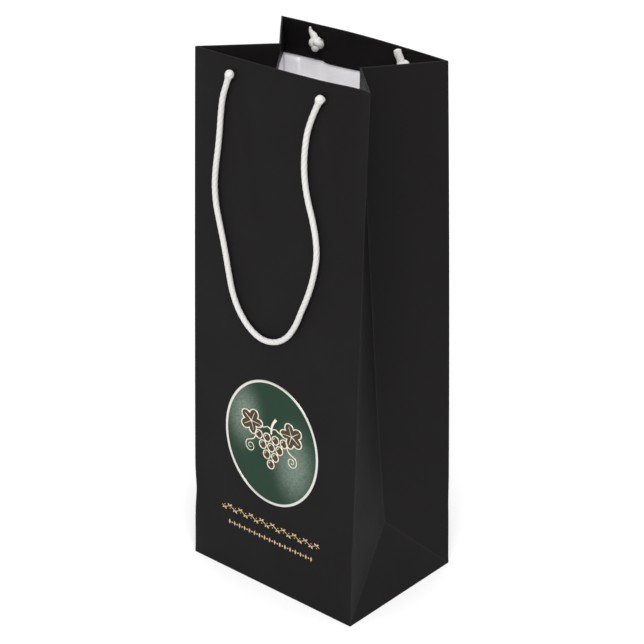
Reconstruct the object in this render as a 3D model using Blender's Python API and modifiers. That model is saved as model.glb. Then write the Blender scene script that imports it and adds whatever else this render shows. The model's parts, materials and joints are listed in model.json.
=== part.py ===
"""Wine gift bag: a tall creased paper bag with inward side gussets, turned-in hems and two cord handles.

Metres, +Z up. X runs across the broad front, the front faces -Y, and the origin is at the centre of the foot.
"""
import math

import bmesh
import bpy
import numpy as np
from mathutils import Matrix, Vector

# Driving dimensions of the bag
BAG_WIDTH = 0.133
FOOT_DEPTH = 0.098
MOUTH_DEPTH = 0.0764
BAG_HEIGHT = 0.340
GUSSET_HALF = 0.0495        # flat width of one half of a side gusset
PAPER = 0.0003              # laminated art paper, about 250 gsm
GAP = 0.0003                # clearance between touching layers

# Top edge: turned-in hem over a stiffening card
HEM_DEPTH = 0.024
HEM_INSET = 0.0025          # hem end short of the corner creases
CARD_THICKNESS = 0.0006
CARD_WIDTH = 0.118
CARD_DEPTH = 0.021
SEAM_TAB_WIDTH = 0.015

# Base
FLAP_REACH = 0.061          # front and back bottom flaps, past the middle of the base
SIDE_FLAP_REACH = 0.040
BASE_CARD_THICKNESS = 0.0012
BASE_CARD_SIZE = (0.129, 0.0955)

# Handles
CORD_DIAMETER = 0.0035
HOLE_SPACING = 0.0692
HOLE_DROP = 0.0105          # cord holes below the top edge
HOLE_RADIUS = CORD_DIAMETER / 2 + 0.0004
BEAD_RADIUS = 0.0028        # the cord swells where it turns out of its hole
BEAD_STANDOFF = 0.0032      # swing axis in front of the paper
KNOT_RADIUS = 0.0043
KNOT_HALF_THICKNESS = 0.0033
TAIL_LENGTH = 0.0125
TAIL_RADIUS = 0.0016
CORD_STANDOFF = -0.00105    # hanging cord nearer the paper than the swing axis

# Derived sizes
LEAN = math.atan2((FOOT_DEPTH - MOUTH_DEPTH) / 2, BAG_HEIGHT)
WALL_LENGTH = math.hypot((FOOT_DEPTH - MOUTH_DEPTH) / 2, BAG_HEIGHT)
HALF_WIDTH = BAG_WIDTH / 2
STACK = PAPER + GAP + CARD_THICKNESS + GAP + PAPER   # panel, card and hem together

# Handle routes seen from the front: across, and down from the swing axis
FRONT_ROUTE = [
    (-0.0358, -0.0029), (-0.0380, -0.0085), (-0.0403, -0.0150), (-0.0419, -0.0244), (-0.0430, -0.0355),
    (-0.0444, -0.0470), (-0.0462, -0.0586), (-0.0472, -0.0700), (-0.0464, -0.0813), (-0.0438, -0.0920),
    (-0.0408, -0.1027), (-0.0380, -0.1136), (-0.0355, -0.1245), (-0.0324, -0.1355), (-0.0270, -0.1458),
    (-0.0181, -0.1547), (-0.0080, -0.1588), (0.0024, -0.1575), (0.0112, -0.1520), (0.0178, -0.1430),
    (0.0232, -0.1310), (0.0285, -0.1180), (0.0321, -0.1052), (0.0337, -0.0936), (0.0327, -0.0829),
    (0.0300, -0.0725), (0.0266, -0.0625), (0.0242, -0.0523), (0.0232, -0.0417), (0.0237, -0.0309),
    (0.0256, -0.0199), (0.0295, -0.0100), (0.0332, -0.0028),
]
BACK_ROUTE = [
    (-0.0357, -0.0029), (-0.0382, -0.0100), (-0.0410, -0.0205), (-0.0428, -0.0320), (-0.0437, -0.0440),
    (-0.0441, -0.0560), (-0.0438, -0.0680), (-0.0428, -0.0800), (-0.0411, -0.0920), (-0.0386, -0.1040),
    (-0.0352, -0.1160), (-0.0306, -0.1275), (-0.0246, -0.1380), (-0.0168, -0.1465), (-0.0075, -0.1512),
    (0.0026, -0.1510), (0.0118, -0.1462), (0.0196, -0.1380), (0.0260, -0.1280), (0.0312, -0.1170),
    (0.0353, -0.1055), (0.0384, -0.0935), (0.0404, -0.0810), (0.0413, -0.0685), (0.0413, -0.0560),
    (0.0405, -0.0435), (0.0391, -0.0310), (0.0372, -0.0190), (0.0356, -0.0090), (0.0348, -0.0031),
]
TUBE_STEP = 2.5 * CORD_DIAMETER
SETTLE_LENGTH = 0.018       # the cord comes down onto the paper over this drop

BLACK_PAPER = ("matt_black_paper", (0.0205, 0.0194, 0.0205), 0.55)
WHITE_PAPER = ("white_paper_back", (0.75, 0.74, 0.75), 0.85)
GREY_BOARD = ("grey_board", (0.34, 0.32, 0.29), 0.9)
WHITE_CORD = ("white_twisted_cord", (0.72, 0.71, 0.69), 0.8)

SIDES = (("left", -1), ("right", 1))
ENDS = (("front", -1), ("back", 1))


def clear_scene():
    for obj in list(bpy.data.objects):
        bpy.data.objects.remove(obj, do_unlink=True)


def make_collection(name):
    collection = bpy.data.collections.new(name)
    bpy.context.scene.collection.children.link(collection)
    return collection


def material(spec):
    name, colour, roughness = spec
    found = bpy.data.materials.get(name)
    if found:
        return found
    mat = bpy.data.materials.new(name)
    mat.use_nodes = True
    shader = mat.node_tree.nodes["Principled BSDF"]
    shader.inputs["Base Color"].default_value = (*colour, 1.0)
    shader.inputs["Roughness"].default_value = roughness
    shader.inputs["Metallic"].default_value = 0.0
    return mat


def place(obj, collection, spec=None, parent=None, location=(0, 0, 0), rotation=(0, 0, 0)):
    """Link an object, dress it, and stand it in its parent's frame."""
    collection.objects.link(obj)
    if spec:
        obj.data.materials.append(material(spec))
    obj.parent = parent
    obj.location = location
    obj.rotation_euler = rotation
    return obj


def add_frame(name, collection, location, rotation, parent=None):
    """An empty that carries the pieces of one wall or one handle."""
    frame = bpy.data.objects.new(name, None)
    frame.empty_display_size = 0.02
    return place(frame, collection, parent=parent, location=location, rotation=rotation)


# ---- flat pieces -----------------------------------------------------------------------------------------------

def add_spline(curve, points):
    spline = curve.splines.new("POLY")
    spline.points.add(len(points) - 1)
    for point, (x, y) in zip(spline.points, points):
        point.co = (x, y, 0.0, 1.0)
    spline.use_cyclic_u = True


def ring(centre, radius, count=20):
    turns = np.linspace(0.0, 2 * math.pi, count, endpoint=False)
    return [(centre[0] + radius * math.cos(t), centre[1] + radius * math.sin(t)) for t in turns]


def flat_sheet(name, outline, thickness, holes=()):
    """A flat blank of paper or board: an outline and its holes, extruded both ways from its middle."""
    curve = bpy.data.curves.new(name, "CURVE")
    curve.dimensions = "2D"
    curve.fill_mode = "BOTH"
    curve.extrude = thickness / 2
    add_spline(curve, outline)
    for centre in holes:
        add_spline(curve, ring(centre, HOLE_RADIUS))
    return bpy.data.objects.new(name, curve)


def rectangle(x0, x1, y0, y1):
    return [(x0, y0), (x1, y0), (x1, y1), (x0, y1)]


def cord_holes():
    height = WALL_LENGTH - HOLE_DROP
    return [(-HOLE_SPACING / 2, height), (HOLE_SPACING / 2, height)]


def add_panel(end, wall, parts):
    """The broad panel, its outer face on the wall frame's own plane."""
    outline = rectangle(-HALF_WIDTH, HALF_WIDTH, 0.0, WALL_LENGTH)
    panel = flat_sheet(f"{end}_panel", outline, PAPER, cord_holes())
    return place(panel, parts, BLACK_PAPER, wall, (0, 0, -PAPER / 2))


def add_top_card(end, wall, parts):
    """Stiffening card folded into the hem, pierced by the handle cord."""
    top = WALL_LENGTH - 2 * GAP - PAPER
    outline = rectangle(-CARD_WIDTH / 2, CARD_WIDTH / 2, top - CARD_DEPTH, top)
    card = flat_sheet(f"{end}_top_card", outline, CARD_THICKNESS, cord_holes())
    return place(card, parts, GREY_BOARD, wall, (0, 0, -(PAPER + GAP + CARD_THICKNESS / 2)))


def add_hem(end, wall, parts):
    """The strip of the panel turned over the card, printed side showing inside the bag."""
    half = HALF_WIDTH - HEM_INSET
    outline = rectangle(-half, half, WALL_LENGTH - HEM_DEPTH, WALL_LENGTH)
    hem = flat_sheet(f"{end}_hem", outline, PAPER, cord_holes())
    return place(hem, parts, BLACK_PAPER, wall, (0, 0, -(STACK - PAPER / 2)))


def add_seam_tab(wall, parts):
    """Glue tab of the tube's one lengthwise seam, inside the back panel at the left corner."""
    outer = HALF_WIDTH - 0.0015
    top = WALL_LENGTH - HEM_DEPTH - 0.002
    outline = rectangle(outer - SEAM_TAB_WIDTH, outer, 0.005, top)
    tab = flat_sheet("seam_glue_tab", outline, PAPER)
    return place(tab, parts, WHITE_PAPER, wall, (0, 0, -(PAPER + GAP + PAPER / 2)))


def add_base(parts):
    """Bottom flaps folded under one another, and the loose-laid base card on top of them."""
    half = HALF_WIDTH - 0.0011
    edge = FOOT_DEPTH / 2 - 2 * PAPER
    reach = FLAP_REACH - FOOT_DEPTH / 2
    layers = PAPER / 2
    back = flat_sheet("bottom_flap_back", rectangle(-half, half, -reach, edge), PAPER)
    place(back, parts, BLACK_PAPER, None, (0, 0, layers))
    layers += PAPER + GAP
    front = flat_sheet("bottom_flap_front", rectangle(-half, half, -edge, reach), PAPER)
    place(front, parts, BLACK_PAPER, None, (0, 0, layers))
    layers += PAPER + GAP
    for side, sign in SIDES:
        inner = half - SIDE_FLAP_REACH
        taper = edge - 0.0006
        outline = [(sign * half, -taper), (sign * half, taper),
                   (sign * inner, taper - SIDE_FLAP_REACH), (sign * inner, SIDE_FLAP_REACH - taper)]
        flap = flat_sheet(f"bottom_flap_{side}", outline, PAPER)
        place(flap, parts, WHITE_PAPER, None, (0, 0, layers))
    layers += PAPER / 2 + GAP + BASE_CARD_THICKNESS / 2
    x, y = BASE_CARD_SIZE[0] / 2, BASE_CARD_SIZE[1] / 2
    card = flat_sheet("base_card", rectangle(-x, x, -y, y), BASE_CARD_THICKNESS)
    place(card, parts, GREY_BOARD, None, (0, 0, layers))


# ---- side gussets ----------------------------------------------------------------------------------------------

def half_depth(z):
    return FOOT_DEPTH / 2 + (MOUTH_DEPTH - FOOT_DEPTH) / 2 * z / BAG_HEIGHT


def crease_inset(z):
    """How far the middle crease stands in from the side: the half gusset keeps its flat width."""
    return math.sqrt(GUSSET_HALF ** 2 - half_depth(z) ** 2)


def foot_apex():
    """Height and inset of the point where the foot's two diagonal folds meet the middle crease."""
    height = FOOT_DEPTH / 2
    for _ in range(20):
        height = math.sqrt((FOOT_DEPTH / 2) ** 2 - crease_inset(height) ** 2)
    return height, crease_inset(height)


APEX_HEIGHT, APEX_INSET = foot_apex()


def gusset_point(across, rise, sign, end_sign, depth):
    """Ruled from the corner crease (across 0) to the middle crease (across 1), foot diagonal at rise 0."""
    z_corner = rise * BAG_HEIGHT
    z_crease = APEX_HEIGHT + rise * (BAG_HEIGHT - APEX_HEIGHT)
    corner = np.array([sign * HALF_WIDTH, end_sign * half_depth(z_corner), z_corner])
    crease = np.array([sign * (HALF_WIDTH - crease_inset(z_crease)), 0.0, z_crease])
    run = crease - corner
    inward = np.array([-sign * abs(run[1]), end_sign * abs(run[0]), 0.0])
    inward /= np.linalg.norm(inward)
    return corner + across * run + depth * inward


def gusset_sheet(name, sign, end_sign, across, rise, depth, steps):
    """A strip of the half gusset as a grid carried onto the ruled surface, then given the paper's thickness."""
    bpy.ops.mesh.primitive_grid_add(x_subdivisions=1, y_subdivisions=steps, size=1.0)
    obj = bpy.context.object
    obj.name = name
    obj.data.name = name
    for vertex in obj.data.vertices:
        u = across[0] + (across[1] - across[0]) * (vertex.co.x + 0.5)
        v = rise[0] + (rise[1] - rise[0]) * (vertex.co.y + 0.5)
        vertex.co = gusset_point(u, v, sign, end_sign, depth)
    mesh = bmesh.new()
    mesh.from_mesh(obj.data)
    mesh.normal_update()
    outward = Vector((sign, -end_sign, 0.0))
    if sum(face.normal.dot(outward) for face in mesh.faces) < 0:
        bmesh.ops.reverse_faces(mesh, faces=mesh.faces)
    mesh.to_mesh(obj.data)
    mesh.free()
    solidify = obj.modifiers.new("paper", "SOLIDIFY")
    solidify.thickness = PAPER
    solidify.offset = -1.0
    for collection in list(obj.users_collection):
        collection.objects.unlink(obj)
    return obj


def add_gusset(side, sign, parts):
    """One side gusset: two halves above the diagonal folds, their hems, and the triangle at the foot."""
    for end, end_sign in ENDS:
        half = gusset_sheet(f"{side}_gusset_{end}", sign, end_sign, (0.021, 0.993), (0.002, 1.0), 0.0, 12)
        place(half, parts, BLACK_PAPER)
        foot = 1.0 - HEM_DEPTH / (BAG_HEIGHT - APEX_HEIGHT)
        hem = gusset_sheet(f"{side}_gusset_{end}_hem", sign, end_sign, (0.085, 0.985), (foot, 1.0),
                           PAPER + GAP, 1)
        place(hem, parts, BLACK_PAPER)
    tilt = math.asin(APEX_INSET / (FOOT_DEPTH / 2))
    reach = FOOT_DEPTH / 2 - 2 * GAP
    triangle = flat_sheet(f"{side}_foot_triangle", [(-reach, 0.0), (reach, 0.0), (0.0, reach)], PAPER)
    turn = Matrix.Rotation(sign * math.pi / 2, 4, "Z") @ Matrix.Rotation(math.pi / 2 - tilt, 4, "X")
    middle = turn @ Vector((0, 0, -PAPER / 2))
    location = Vector((sign * HALF_WIDTH, 0, PAPER * math.sin(tilt))) + middle
    place(triangle, parts, BLACK_PAPER, None, location, turn.to_euler())


# ---- handles ---------------------------------------------------------------------------------------------------

def knot_profile():
    """Half outline along the hole: the swollen turn outside, the neck through the layers, the knot inside."""
    neck = CORD_DIAMETER / 2
    stop = -math.acos(neck / BEAD_RADIUS)
    points = [(BEAD_RADIUS * math.cos(t), BEAD_STANDOFF + BEAD_RADIUS * math.sin(t))
              for t in np.linspace(math.pi / 2, stop, 9)]
    middle = -(STACK + GAP + KNOT_HALF_THICKNESS)
    start = math.acos(neck / KNOT_RADIUS)
    points += [(KNOT_RADIUS * math.cos(t), middle + KNOT_HALF_THICKNESS * math.sin(t))
               for t in np.linspace(start, -math.pi / 2, 11)]
    return points, middle


def add_knot(name, wall, x, lean_left, parts, cutters):
    """Cord end fixed in the wall: a turned body along the hole, with the cut tail joined to it."""
    points, middle = knot_profile()
    mesh = bpy.data.meshes.new(name)
    vertices = [(radius, 0.0, z) for radius, z in points]
    vertices[0] = (0.0, 0.0, vertices[0][2])
    vertices[-1] = (0.0, 0.0, vertices[-1][2])
    mesh.from_pydata(vertices, [(i, i + 1) for i in range(len(vertices) - 1)], [])
    knot = place(bpy.data.objects.new(name, mesh), parts, WHITE_CORD, wall, (x, WALL_LENGTH - HOLE_DROP, 0))
    screw = knot.modifiers.new("turn", "SCREW")
    screw.steps = 16
    screw.render_steps = 16
    screw.use_merge_vertices = True
    screw.merge_threshold = 0.00001
    tail = add_tail(name, wall, x, middle, lean_left, cutters)
    union = knot.modifiers.new("tail", "BOOLEAN")
    union.operation = "UNION"
    union.object = tail
    return knot


def add_tail(name, wall, x, middle, lean_left, cutters):
    """The short cut end that stands up out of the knot, leaning to one side."""
    bpy.ops.mesh.primitive_cylinder_add(vertices=10, radius=TAIL_RADIUS, depth=TAIL_LENGTH)
    tail = bpy.context.object
    tail.name = name + "_tail"
    for collection in list(tail.users_collection):
        collection.objects.unlink(tail)
    tail.data.transform(Matrix.Translation((0, 0, TAIL_LENGTH / 2)))
    tail.hide_render = True
    tail.display_type = "WIRE"
    start = (x, WALL_LENGTH - HOLE_DROP, middle)
    return place(tail, cutters, None, wall, start, (-math.pi / 2, math.radians(8), lean_left))


def smooth_route(route):
    """Centripetal Catmull-Rom curve through the route's points, walked at an even step."""
    points = np.array(route)
    ends = np.vstack([2 * points[0] - points[1], points, 2 * points[-1] - points[-2]])
    dense = []
    for p0, p1, p2, p3 in zip(ends, ends[1:], ends[2:], ends[3:]):
        t1 = np.linalg.norm(p1 - p0) ** 0.5
        t2 = t1 + np.linalg.norm(p2 - p1) ** 0.5
        t3 = t2 + np.linalg.norm(p3 - p2) ** 0.5
        for t in np.linspace(t1, t2, 12, endpoint=False):
            a1 = (t1 - t) / t1 * p0 + t / t1 * p1
            a2 = (t2 - t) / (t2 - t1) * p1 + (t - t1) / (t2 - t1) * p2
            a3 = (t3 - t) / (t3 - t2) * p2 + (t - t2) / (t3 - t2) * p3
            b1 = (t2 - t) / t2 * a1 + t / t2 * a2
            b2 = (t3 - t) / (t3 - t1) * a2 + (t - t1) / (t3 - t1) * a3
            dense.append((t2 - t) / (t2 - t1) * b1 + (t - t1) / (t2 - t1) * b2)
    dense = np.vstack([dense, points[-1]])
    walked = np.concatenate([[0.0], np.cumsum(np.linalg.norm(np.diff(dense, axis=0), axis=1))])
    stations = np.linspace(0.0, walked[-1], int(round(walked[-1] / TUBE_STEP)) + 1)
    return np.column_stack([np.interp(stations, walked, dense[:, i]) for i in range(2)])


def add_handle(end, wall, route, mirror, parts):
    """The hanging loop of cord between its two holes, on an empty at the swing axis."""
    height = WALL_LENGTH - HOLE_DROP
    pivot = add_frame(f"{end}_handle_pivot", parts, (0, height, BEAD_STANDOFF), (0, 0, 0), wall)
    path = smooth_route(route)
    curve = bpy.data.curves.new(f"{end}_handle_cord", "CURVE")
    curve.dimensions = "3D"
    curve.fill_mode = "FULL"
    curve.bevel_depth = CORD_DIAMETER / 2
    curve.bevel_resolution = 2
    curve.use_fill_caps = True
    spline = curve.splines.new("POLY")
    spline.points.add(len(path) - 1)
    for point, (x, y) in zip(spline.points, path):
        settle = min(1.0, -y / SETTLE_LENGTH)
        settle = settle * settle * (3 - 2 * settle)
        point.co = (mirror * x, y, CORD_STANDOFF * settle, 1.0)
    return place(bpy.data.objects.new(f"{end}_handle_cord", curve), parts, WHITE_CORD, pivot)


def add_wall(end, sign, route, parts, cutters):
    """One broad wall and everything fixed to it. Its frame's +Z faces out of the bag and +Y runs up the wall."""
    wall = add_frame(f"{end}_wall", parts, (0, sign * FOOT_DEPTH / 2, 0),
                     (math.pi / 2 - LEAN, 0, 0 if sign < 0 else math.pi))
    add_panel(end, wall, parts)
    add_top_card(end, wall, parts)
    add_hem(end, wall, parts)
    mirror = -sign
    for side, side_sign in SIDES:
        x = mirror * side_sign * HOLE_SPACING / 2
        lean = math.radians(14) * mirror
        add_knot(f"{end}_{side}_cord_knot", wall, x, lean, parts, cutters)
    add_handle(end, wall, route, mirror, parts)
    return wall


def main():
    clear_scene()
    parts = make_collection("wine_gift_bag")
    cutters = make_collection("joined_shapes")
    add_wall("front", -1, FRONT_ROUTE, parts, cutters)
    back_wall = add_wall("back", 1, BACK_ROUTE, parts, cutters)
    add_seam_tab(back_wall, parts)
    for side, sign in SIDES:
        add_gusset(side, sign, parts)
    add_base(parts)
    bpy.context.view_layer.update()


main()
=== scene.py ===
"""Wine gift bag: the visible paper, print, cord handles and knots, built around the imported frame.

The bag is one creased sheet of film-laminated art paper, so its walls, hems and bottom flaps are one
welded surface here. Everything else (cards, glue tab, badge, ornament, cords) is its own piece. All sizes
are metres in the frame's own axes: X across the broad front, the front faces -Y, Z is up.
"""

import json
import logging
import math
from dataclasses import dataclass, field, replace
from enum import Enum, IntEnum

import bmesh
import bpy
import numpy as np
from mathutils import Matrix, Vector


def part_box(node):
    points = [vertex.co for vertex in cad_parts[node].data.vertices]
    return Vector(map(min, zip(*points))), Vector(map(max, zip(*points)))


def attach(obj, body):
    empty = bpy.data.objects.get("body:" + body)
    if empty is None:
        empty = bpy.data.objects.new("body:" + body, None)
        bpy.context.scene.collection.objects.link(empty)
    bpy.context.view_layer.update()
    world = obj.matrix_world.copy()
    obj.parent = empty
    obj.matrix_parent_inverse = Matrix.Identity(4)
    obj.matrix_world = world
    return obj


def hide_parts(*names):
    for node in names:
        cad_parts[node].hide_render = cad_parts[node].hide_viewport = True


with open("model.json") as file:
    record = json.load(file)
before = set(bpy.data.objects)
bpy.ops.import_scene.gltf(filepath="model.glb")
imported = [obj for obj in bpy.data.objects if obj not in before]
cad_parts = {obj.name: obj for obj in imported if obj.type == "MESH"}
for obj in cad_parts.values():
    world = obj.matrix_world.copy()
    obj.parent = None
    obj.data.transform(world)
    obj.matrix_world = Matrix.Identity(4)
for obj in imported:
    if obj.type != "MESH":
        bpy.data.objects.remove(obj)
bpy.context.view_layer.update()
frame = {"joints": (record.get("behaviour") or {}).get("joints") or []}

MM = 0.001
HOLE_OFFSET = 34.6 * MM                                # each cord hole from the middle of its pair
HOLE_DROP = 10.5 * MM                                  # cord holes below the mouth
HOLE_STEPS = np.array([-1.0, -0.5, 0.0, 0.5, 1.0])     # grid lines through a cord hole, in hole radii
LOG = logging.getLogger("wine_gift_bag")
Array = np.ndarray


class Corner(IntEnum):
    """The six upright folds of the bag, counted anticlockwise from above."""

    FRONT_LEFT = 0
    FRONT_RIGHT = 1
    CREASE_RIGHT = 2
    BACK_RIGHT = 3
    BACK_LEFT = 4
    CREASE_LEFT = 5


class Face(IntEnum):
    """The six walls: each runs from the corner of its own number to the next one."""

    FRONT = 0
    RIGHT_FRONT = 1
    RIGHT_BACK = 2
    BACK = 3
    LEFT_BACK = 4
    LEFT_FRONT = 5


HOLE_SHIFT = {Face.FRONT: 0.9 * MM, Face.BACK: 0.0}    # each pair of cord holes off the bag's middle


class End(Enum):
    """The two broad walls, with the sign of their side of the bag along Y."""

    FRONT = -1.0
    BACK = 1.0

    @property
    def word(self) -> str:
        """The wall's name as the frame's nodes use it."""
        return self.name.lower()

    @property
    def face(self) -> Face:
        """The wall's face of the sheet."""
        return Face.FRONT if self is End.FRONT else Face.BACK


class Tail(Enum):
    """How a cord's cut end leaves its knot: points from the knot's last turn, in millimetres."""

    DRAWN_OUT = ((0.6, 2.0, 1.4), (-0.2, 3.6, 1.7), (-1.4, 5.2, 1.4), (-2.2, 7.2, 0.9), (-2.1, 9.2, 0.6))
    BLUNT = ((-0.4, 2.4, 0.8), (-1.2, 4.4, 0.8), (-2.2, 6.8, 0.5), (-3.2, 9.6, 0.6))
    DOWN = ((-0.8, 1.6, 1.0), (-2.8, 1.2, 1.2), (-4.6, -1.6, 0.8), (-5.3, -5.0, 0.4), (-5.2, -8.4, 0.6))


# ---- shared shape functions ----------------------------------------------------------------------

def smooth(t: Array) -> Array:
    """Smooth step: 0 below 0, 1 above 1, and 3t^2 - 2t^3 between.

    Args:
        t: values of any shape.

    Returns:
        The eased values.
    """
    t = np.clip(t, 0.0, 1.0)
    return t * t * (3.0 - 2.0 * t)


def hump(x: Array, middle: float, width: float) -> Array:
    """A bell, exp(-((x - middle) / width)^2).

    Args:
        x: positions.
        middle: where the bell is 1.
        width: distance at which it has fallen to 1/e.

    Returns:
        The bell's height at each position.
    """
    return np.exp(-(((x - middle) / width) ** 2))


def pull_ridge(x: Array, z: Array, start: tuple[float, float], end: tuple[float, float],
               width: float) -> Array:
    """A drawn wrinkle: a bell across the line from start to end, quick to rise and fading to its end.

    Args:
        x: positions across the wall.
        z: heights.
        start: where the wrinkle begins, at a cord hole.
        end: where it dies out.
        width: half width of the bell.

    Returns:
        Height of the wrinkle, 1 at its strongest.
    """
    run = np.array(end) - np.array(start)
    length = float(np.hypot(*run))
    along = ((x - start[0]) * run[0] + (z - start[1]) * run[1]) / length**2
    across = ((x - start[0]) * run[1] - (z - start[1]) * run[0]) / length
    fade = smooth(along / 0.12) * (1.0 - smooth(along))
    return np.exp(-((across / width) ** 2)) * fade


def unit(v: Array) -> Array:
    """Vectors of length 1 along the last axis."""
    return v / np.linalg.norm(v, axis=-1, keepdims=True)


def smooth_curve(points: Array, step: float) -> Array:
    """Centripetal Catmull-Rom curve through the points, walked at an even step.

    Between points 1 and 2 of each run of four, the curve is the blend of the three chords' blends, with
    knots spaced by the square root of the chord's length, so it neither loops nor overshoots.

    Args:
        points: the route's own points, one row each.
        step: distance between stations.

    Returns:
        Stations along the curve, both ends included.
    """
    ends = np.vstack([2 * points[0] - points[1], points, 2 * points[-1] - points[-2]])
    p0, p1, p2, p3 = ends[:-3], ends[1:-2], ends[2:-1], ends[3:]
    gaps = np.linalg.norm(np.diff(ends, axis=0), axis=1) ** 0.5
    t1 = gaps[:-2, None, None]
    t2 = t1 + gaps[1:-1, None, None]
    t3 = t2 + gaps[2:, None, None]
    t = t1 + (t2 - t1) * np.linspace(0.0, 1.0, 24, endpoint=False)[None, :, None]
    q0, q1, q2, q3 = p0[:, None], p1[:, None], p2[:, None], p3[:, None]
    a1 = (t1 - t) / t1 * q0 + t / t1 * q1
    a2 = (t2 - t) / (t2 - t1) * q1 + (t - t1) / (t2 - t1) * q2
    a3 = (t3 - t) / (t3 - t2) * q2 + (t - t2) / (t3 - t2) * q3
    b1 = (t2 - t) / t2 * a1 + t / t2 * a2
    b2 = (t3 - t) / (t3 - t1) * a2 + (t - t1) / (t3 - t1) * a3
    dense = ((t2 - t) / (t2 - t1) * b1 + (t - t1) / (t2 - t1) * b2).reshape(-1, points.shape[1])
    dense = np.vstack([dense, points[-1]])
    walked = np.concatenate([[0.0], np.cumsum(np.linalg.norm(np.diff(dense, axis=0), axis=1))])
    stations = np.linspace(0.0, walked[-1], max(2, int(round(walked[-1] / step)) + 1))
    return np.column_stack([np.interp(stations, walked, dense[:, i]) for i in range(points.shape[1])])


# ---- meshes from grids ---------------------------------------------------------------------------

@dataclass
class Grid:
    """A sheet of points in rows and columns, with what the material reads at each of them."""

    points: Array
    wrap_rows: bool = False
    wrap_columns: bool = False
    uv: Array | None = None
    values: dict[str, Array] = field(default_factory=dict)

    def quads(self) -> Array:
        """Corner numbers of each cell.

        Returns:
            Cells x 4, turned so that each cell faces along its column direction crossed with its row's.
        """
        rows, columns = self.points.shape[:2]
        i = np.arange(rows if self.wrap_rows else rows - 1)[:, None]
        j = np.arange(columns if self.wrap_columns else columns - 1)[None, :]
        i2, j2 = (i + 1) % rows, (j + 1) % columns
        cells = [i * columns + j, i * columns + j2, i2 * columns + j2, i2 * columns + j]
        return np.stack([np.broadcast_to(c, (i.size, j.size)) for c in cells], axis=-1).reshape(-1, 4)


def mesh_from_grids(name: str, grids: list[Grid], weld: bool = False) -> bpy.types.Object:
    """One mesh object from one or more grids.

    Args:
        name: the piece's name.
        grids: the sheets, each with the same set of values.
        weld: merge points that coincide, as at poles and where sheets meet.

    Returns:
        The new object, at the origin, with its place in its mesh.
    """
    starts = np.cumsum([0] + [g.points.shape[0] * g.points.shape[1] for g in grids])
    points = np.concatenate([g.points.reshape(-1, 3) for g in grids])
    quads = np.concatenate([g.quads() + s for g, s in zip(grids, starts)])
    mesh = bpy.data.meshes.new(name)
    mesh.vertices.add(len(points))
    mesh.vertices.foreach_set("co", points.astype(np.float32).ravel())
    mesh.loops.add(quads.size)
    mesh.loops.foreach_set("vertex_index", quads.astype(np.int32).ravel())
    mesh.polygons.add(len(quads))
    mesh.polygons.foreach_set("loop_start", np.arange(0, quads.size, 4, dtype=np.int32))
    mesh.update(calc_edges=True)
    if grids[0].uv is not None:
        uv = np.concatenate([g.uv.reshape(-1, 2) for g in grids])
        layer = mesh.uv_layers.new(name="UVMap")
        layer.data.foreach_set("uv", uv[quads.ravel()].astype(np.float32).ravel())
    for key in grids[0].values:
        column = np.concatenate([g.values.get(key, np.zeros(g.points.shape[:2])).ravel() for g in grids])
        column = column.astype(np.float32)
        mesh.attributes.new(key, "FLOAT", "POINT").data.foreach_set("value", column)
    if weld:
        welded = bmesh.new()
        welded.from_mesh(mesh)
        bmesh.ops.remove_doubles(welded, verts=welded.verts, dist=2e-6)
        welded.to_mesh(mesh)
        welded.free()
    mesh.shade_smooth()
    obj = bpy.data.objects.new(name, mesh)
    bpy.context.scene.collection.objects.link(obj)
    return obj


def round_hole(points: Array, flag: Array, rows: Array, columns: Array, radius: float) -> None:
    """Bend a five by five block of grid points into a round hole.

    The block's sixteen rim points move along their own direction from its middle point to the hole's radius,
    and the nine within are flagged to be taken out.

    Args:
        points: the sheet's points, changed in place.
        flag: the sheet's hole marks, changed in place.
        rows: the block's five rows.
        columns: its five columns.
        radius: the hole's radius.
    """
    block = np.ix_(rows, columns)
    away = points[block] - points[rows[2], columns[2]]
    rim = np.ones((5, 5), bool)
    rim[1:4, 1:4] = False
    reach = np.where(rim, radius / np.maximum(np.linalg.norm(away, axis=-1), 1e-9), 1.0)
    points[block] = points[rows[2], columns[2]] + away * reach[..., None]
    flag[block] = ~rim


def open_holes(obj: bpy.types.Object) -> bpy.types.Object:
    """Take out the points flagged as holes, with the cells on them.

    Args:
        obj: the sheet, with its hole marks.

    Returns:
        The same object.
    """
    opened = bmesh.new()
    opened.from_mesh(obj.data)
    layer = opened.verts.layers.float["hole"]
    bmesh.ops.delete(opened, geom=[v for v in opened.verts if v[layer] > 0.5], context="VERTS")
    opened.to_mesh(obj.data)
    opened.free()
    return obj


def thicken(obj: bpy.types.Object, thickness: float, materials: list[bpy.types.Material]) -> bpy.types.Object:
    """Give a sheet its thickness behind its printed face, with its own back and cut edge.

    Args:
        obj: the sheet, faces pointing out.
        thickness: how far it reaches behind its faces.
        materials: face, back and cut edge, or one for all three.

    Returns:
        The same object.
    """
    for material in materials:
        obj.data.materials.append(material)
    solid = obj.modifiers.new("thickness", "SOLIDIFY")
    solid.thickness = thickness
    solid.offset = -1.0
    solid.use_even_offset = True
    solid.use_quality_normals = True
    if len(materials) == 3:
        solid.material_offset = 1
        solid.material_offset_rim = 2
    return obj


def settle(obj: bpy.types.Object, body: str, slot: str, *nodes: str) -> bpy.types.Object:
    """Join a finished piece to its body and hide the frame nodes that it stands for.

    Args:
        obj: the piece.
        body: the body it moves with.
        slot: the record's material slot; not used.
        nodes: the frame's nodes that it replaces.

    Returns:
        The same object.
    """
    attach(obj, body)
    if nodes:
        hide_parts(*nodes)
    LOG.info("%s: %d points, on %s", obj.name, len(obj.data.vertices), body)
    return obj


# ---- finishes ------------------------------------------------------------------------------------

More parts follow.
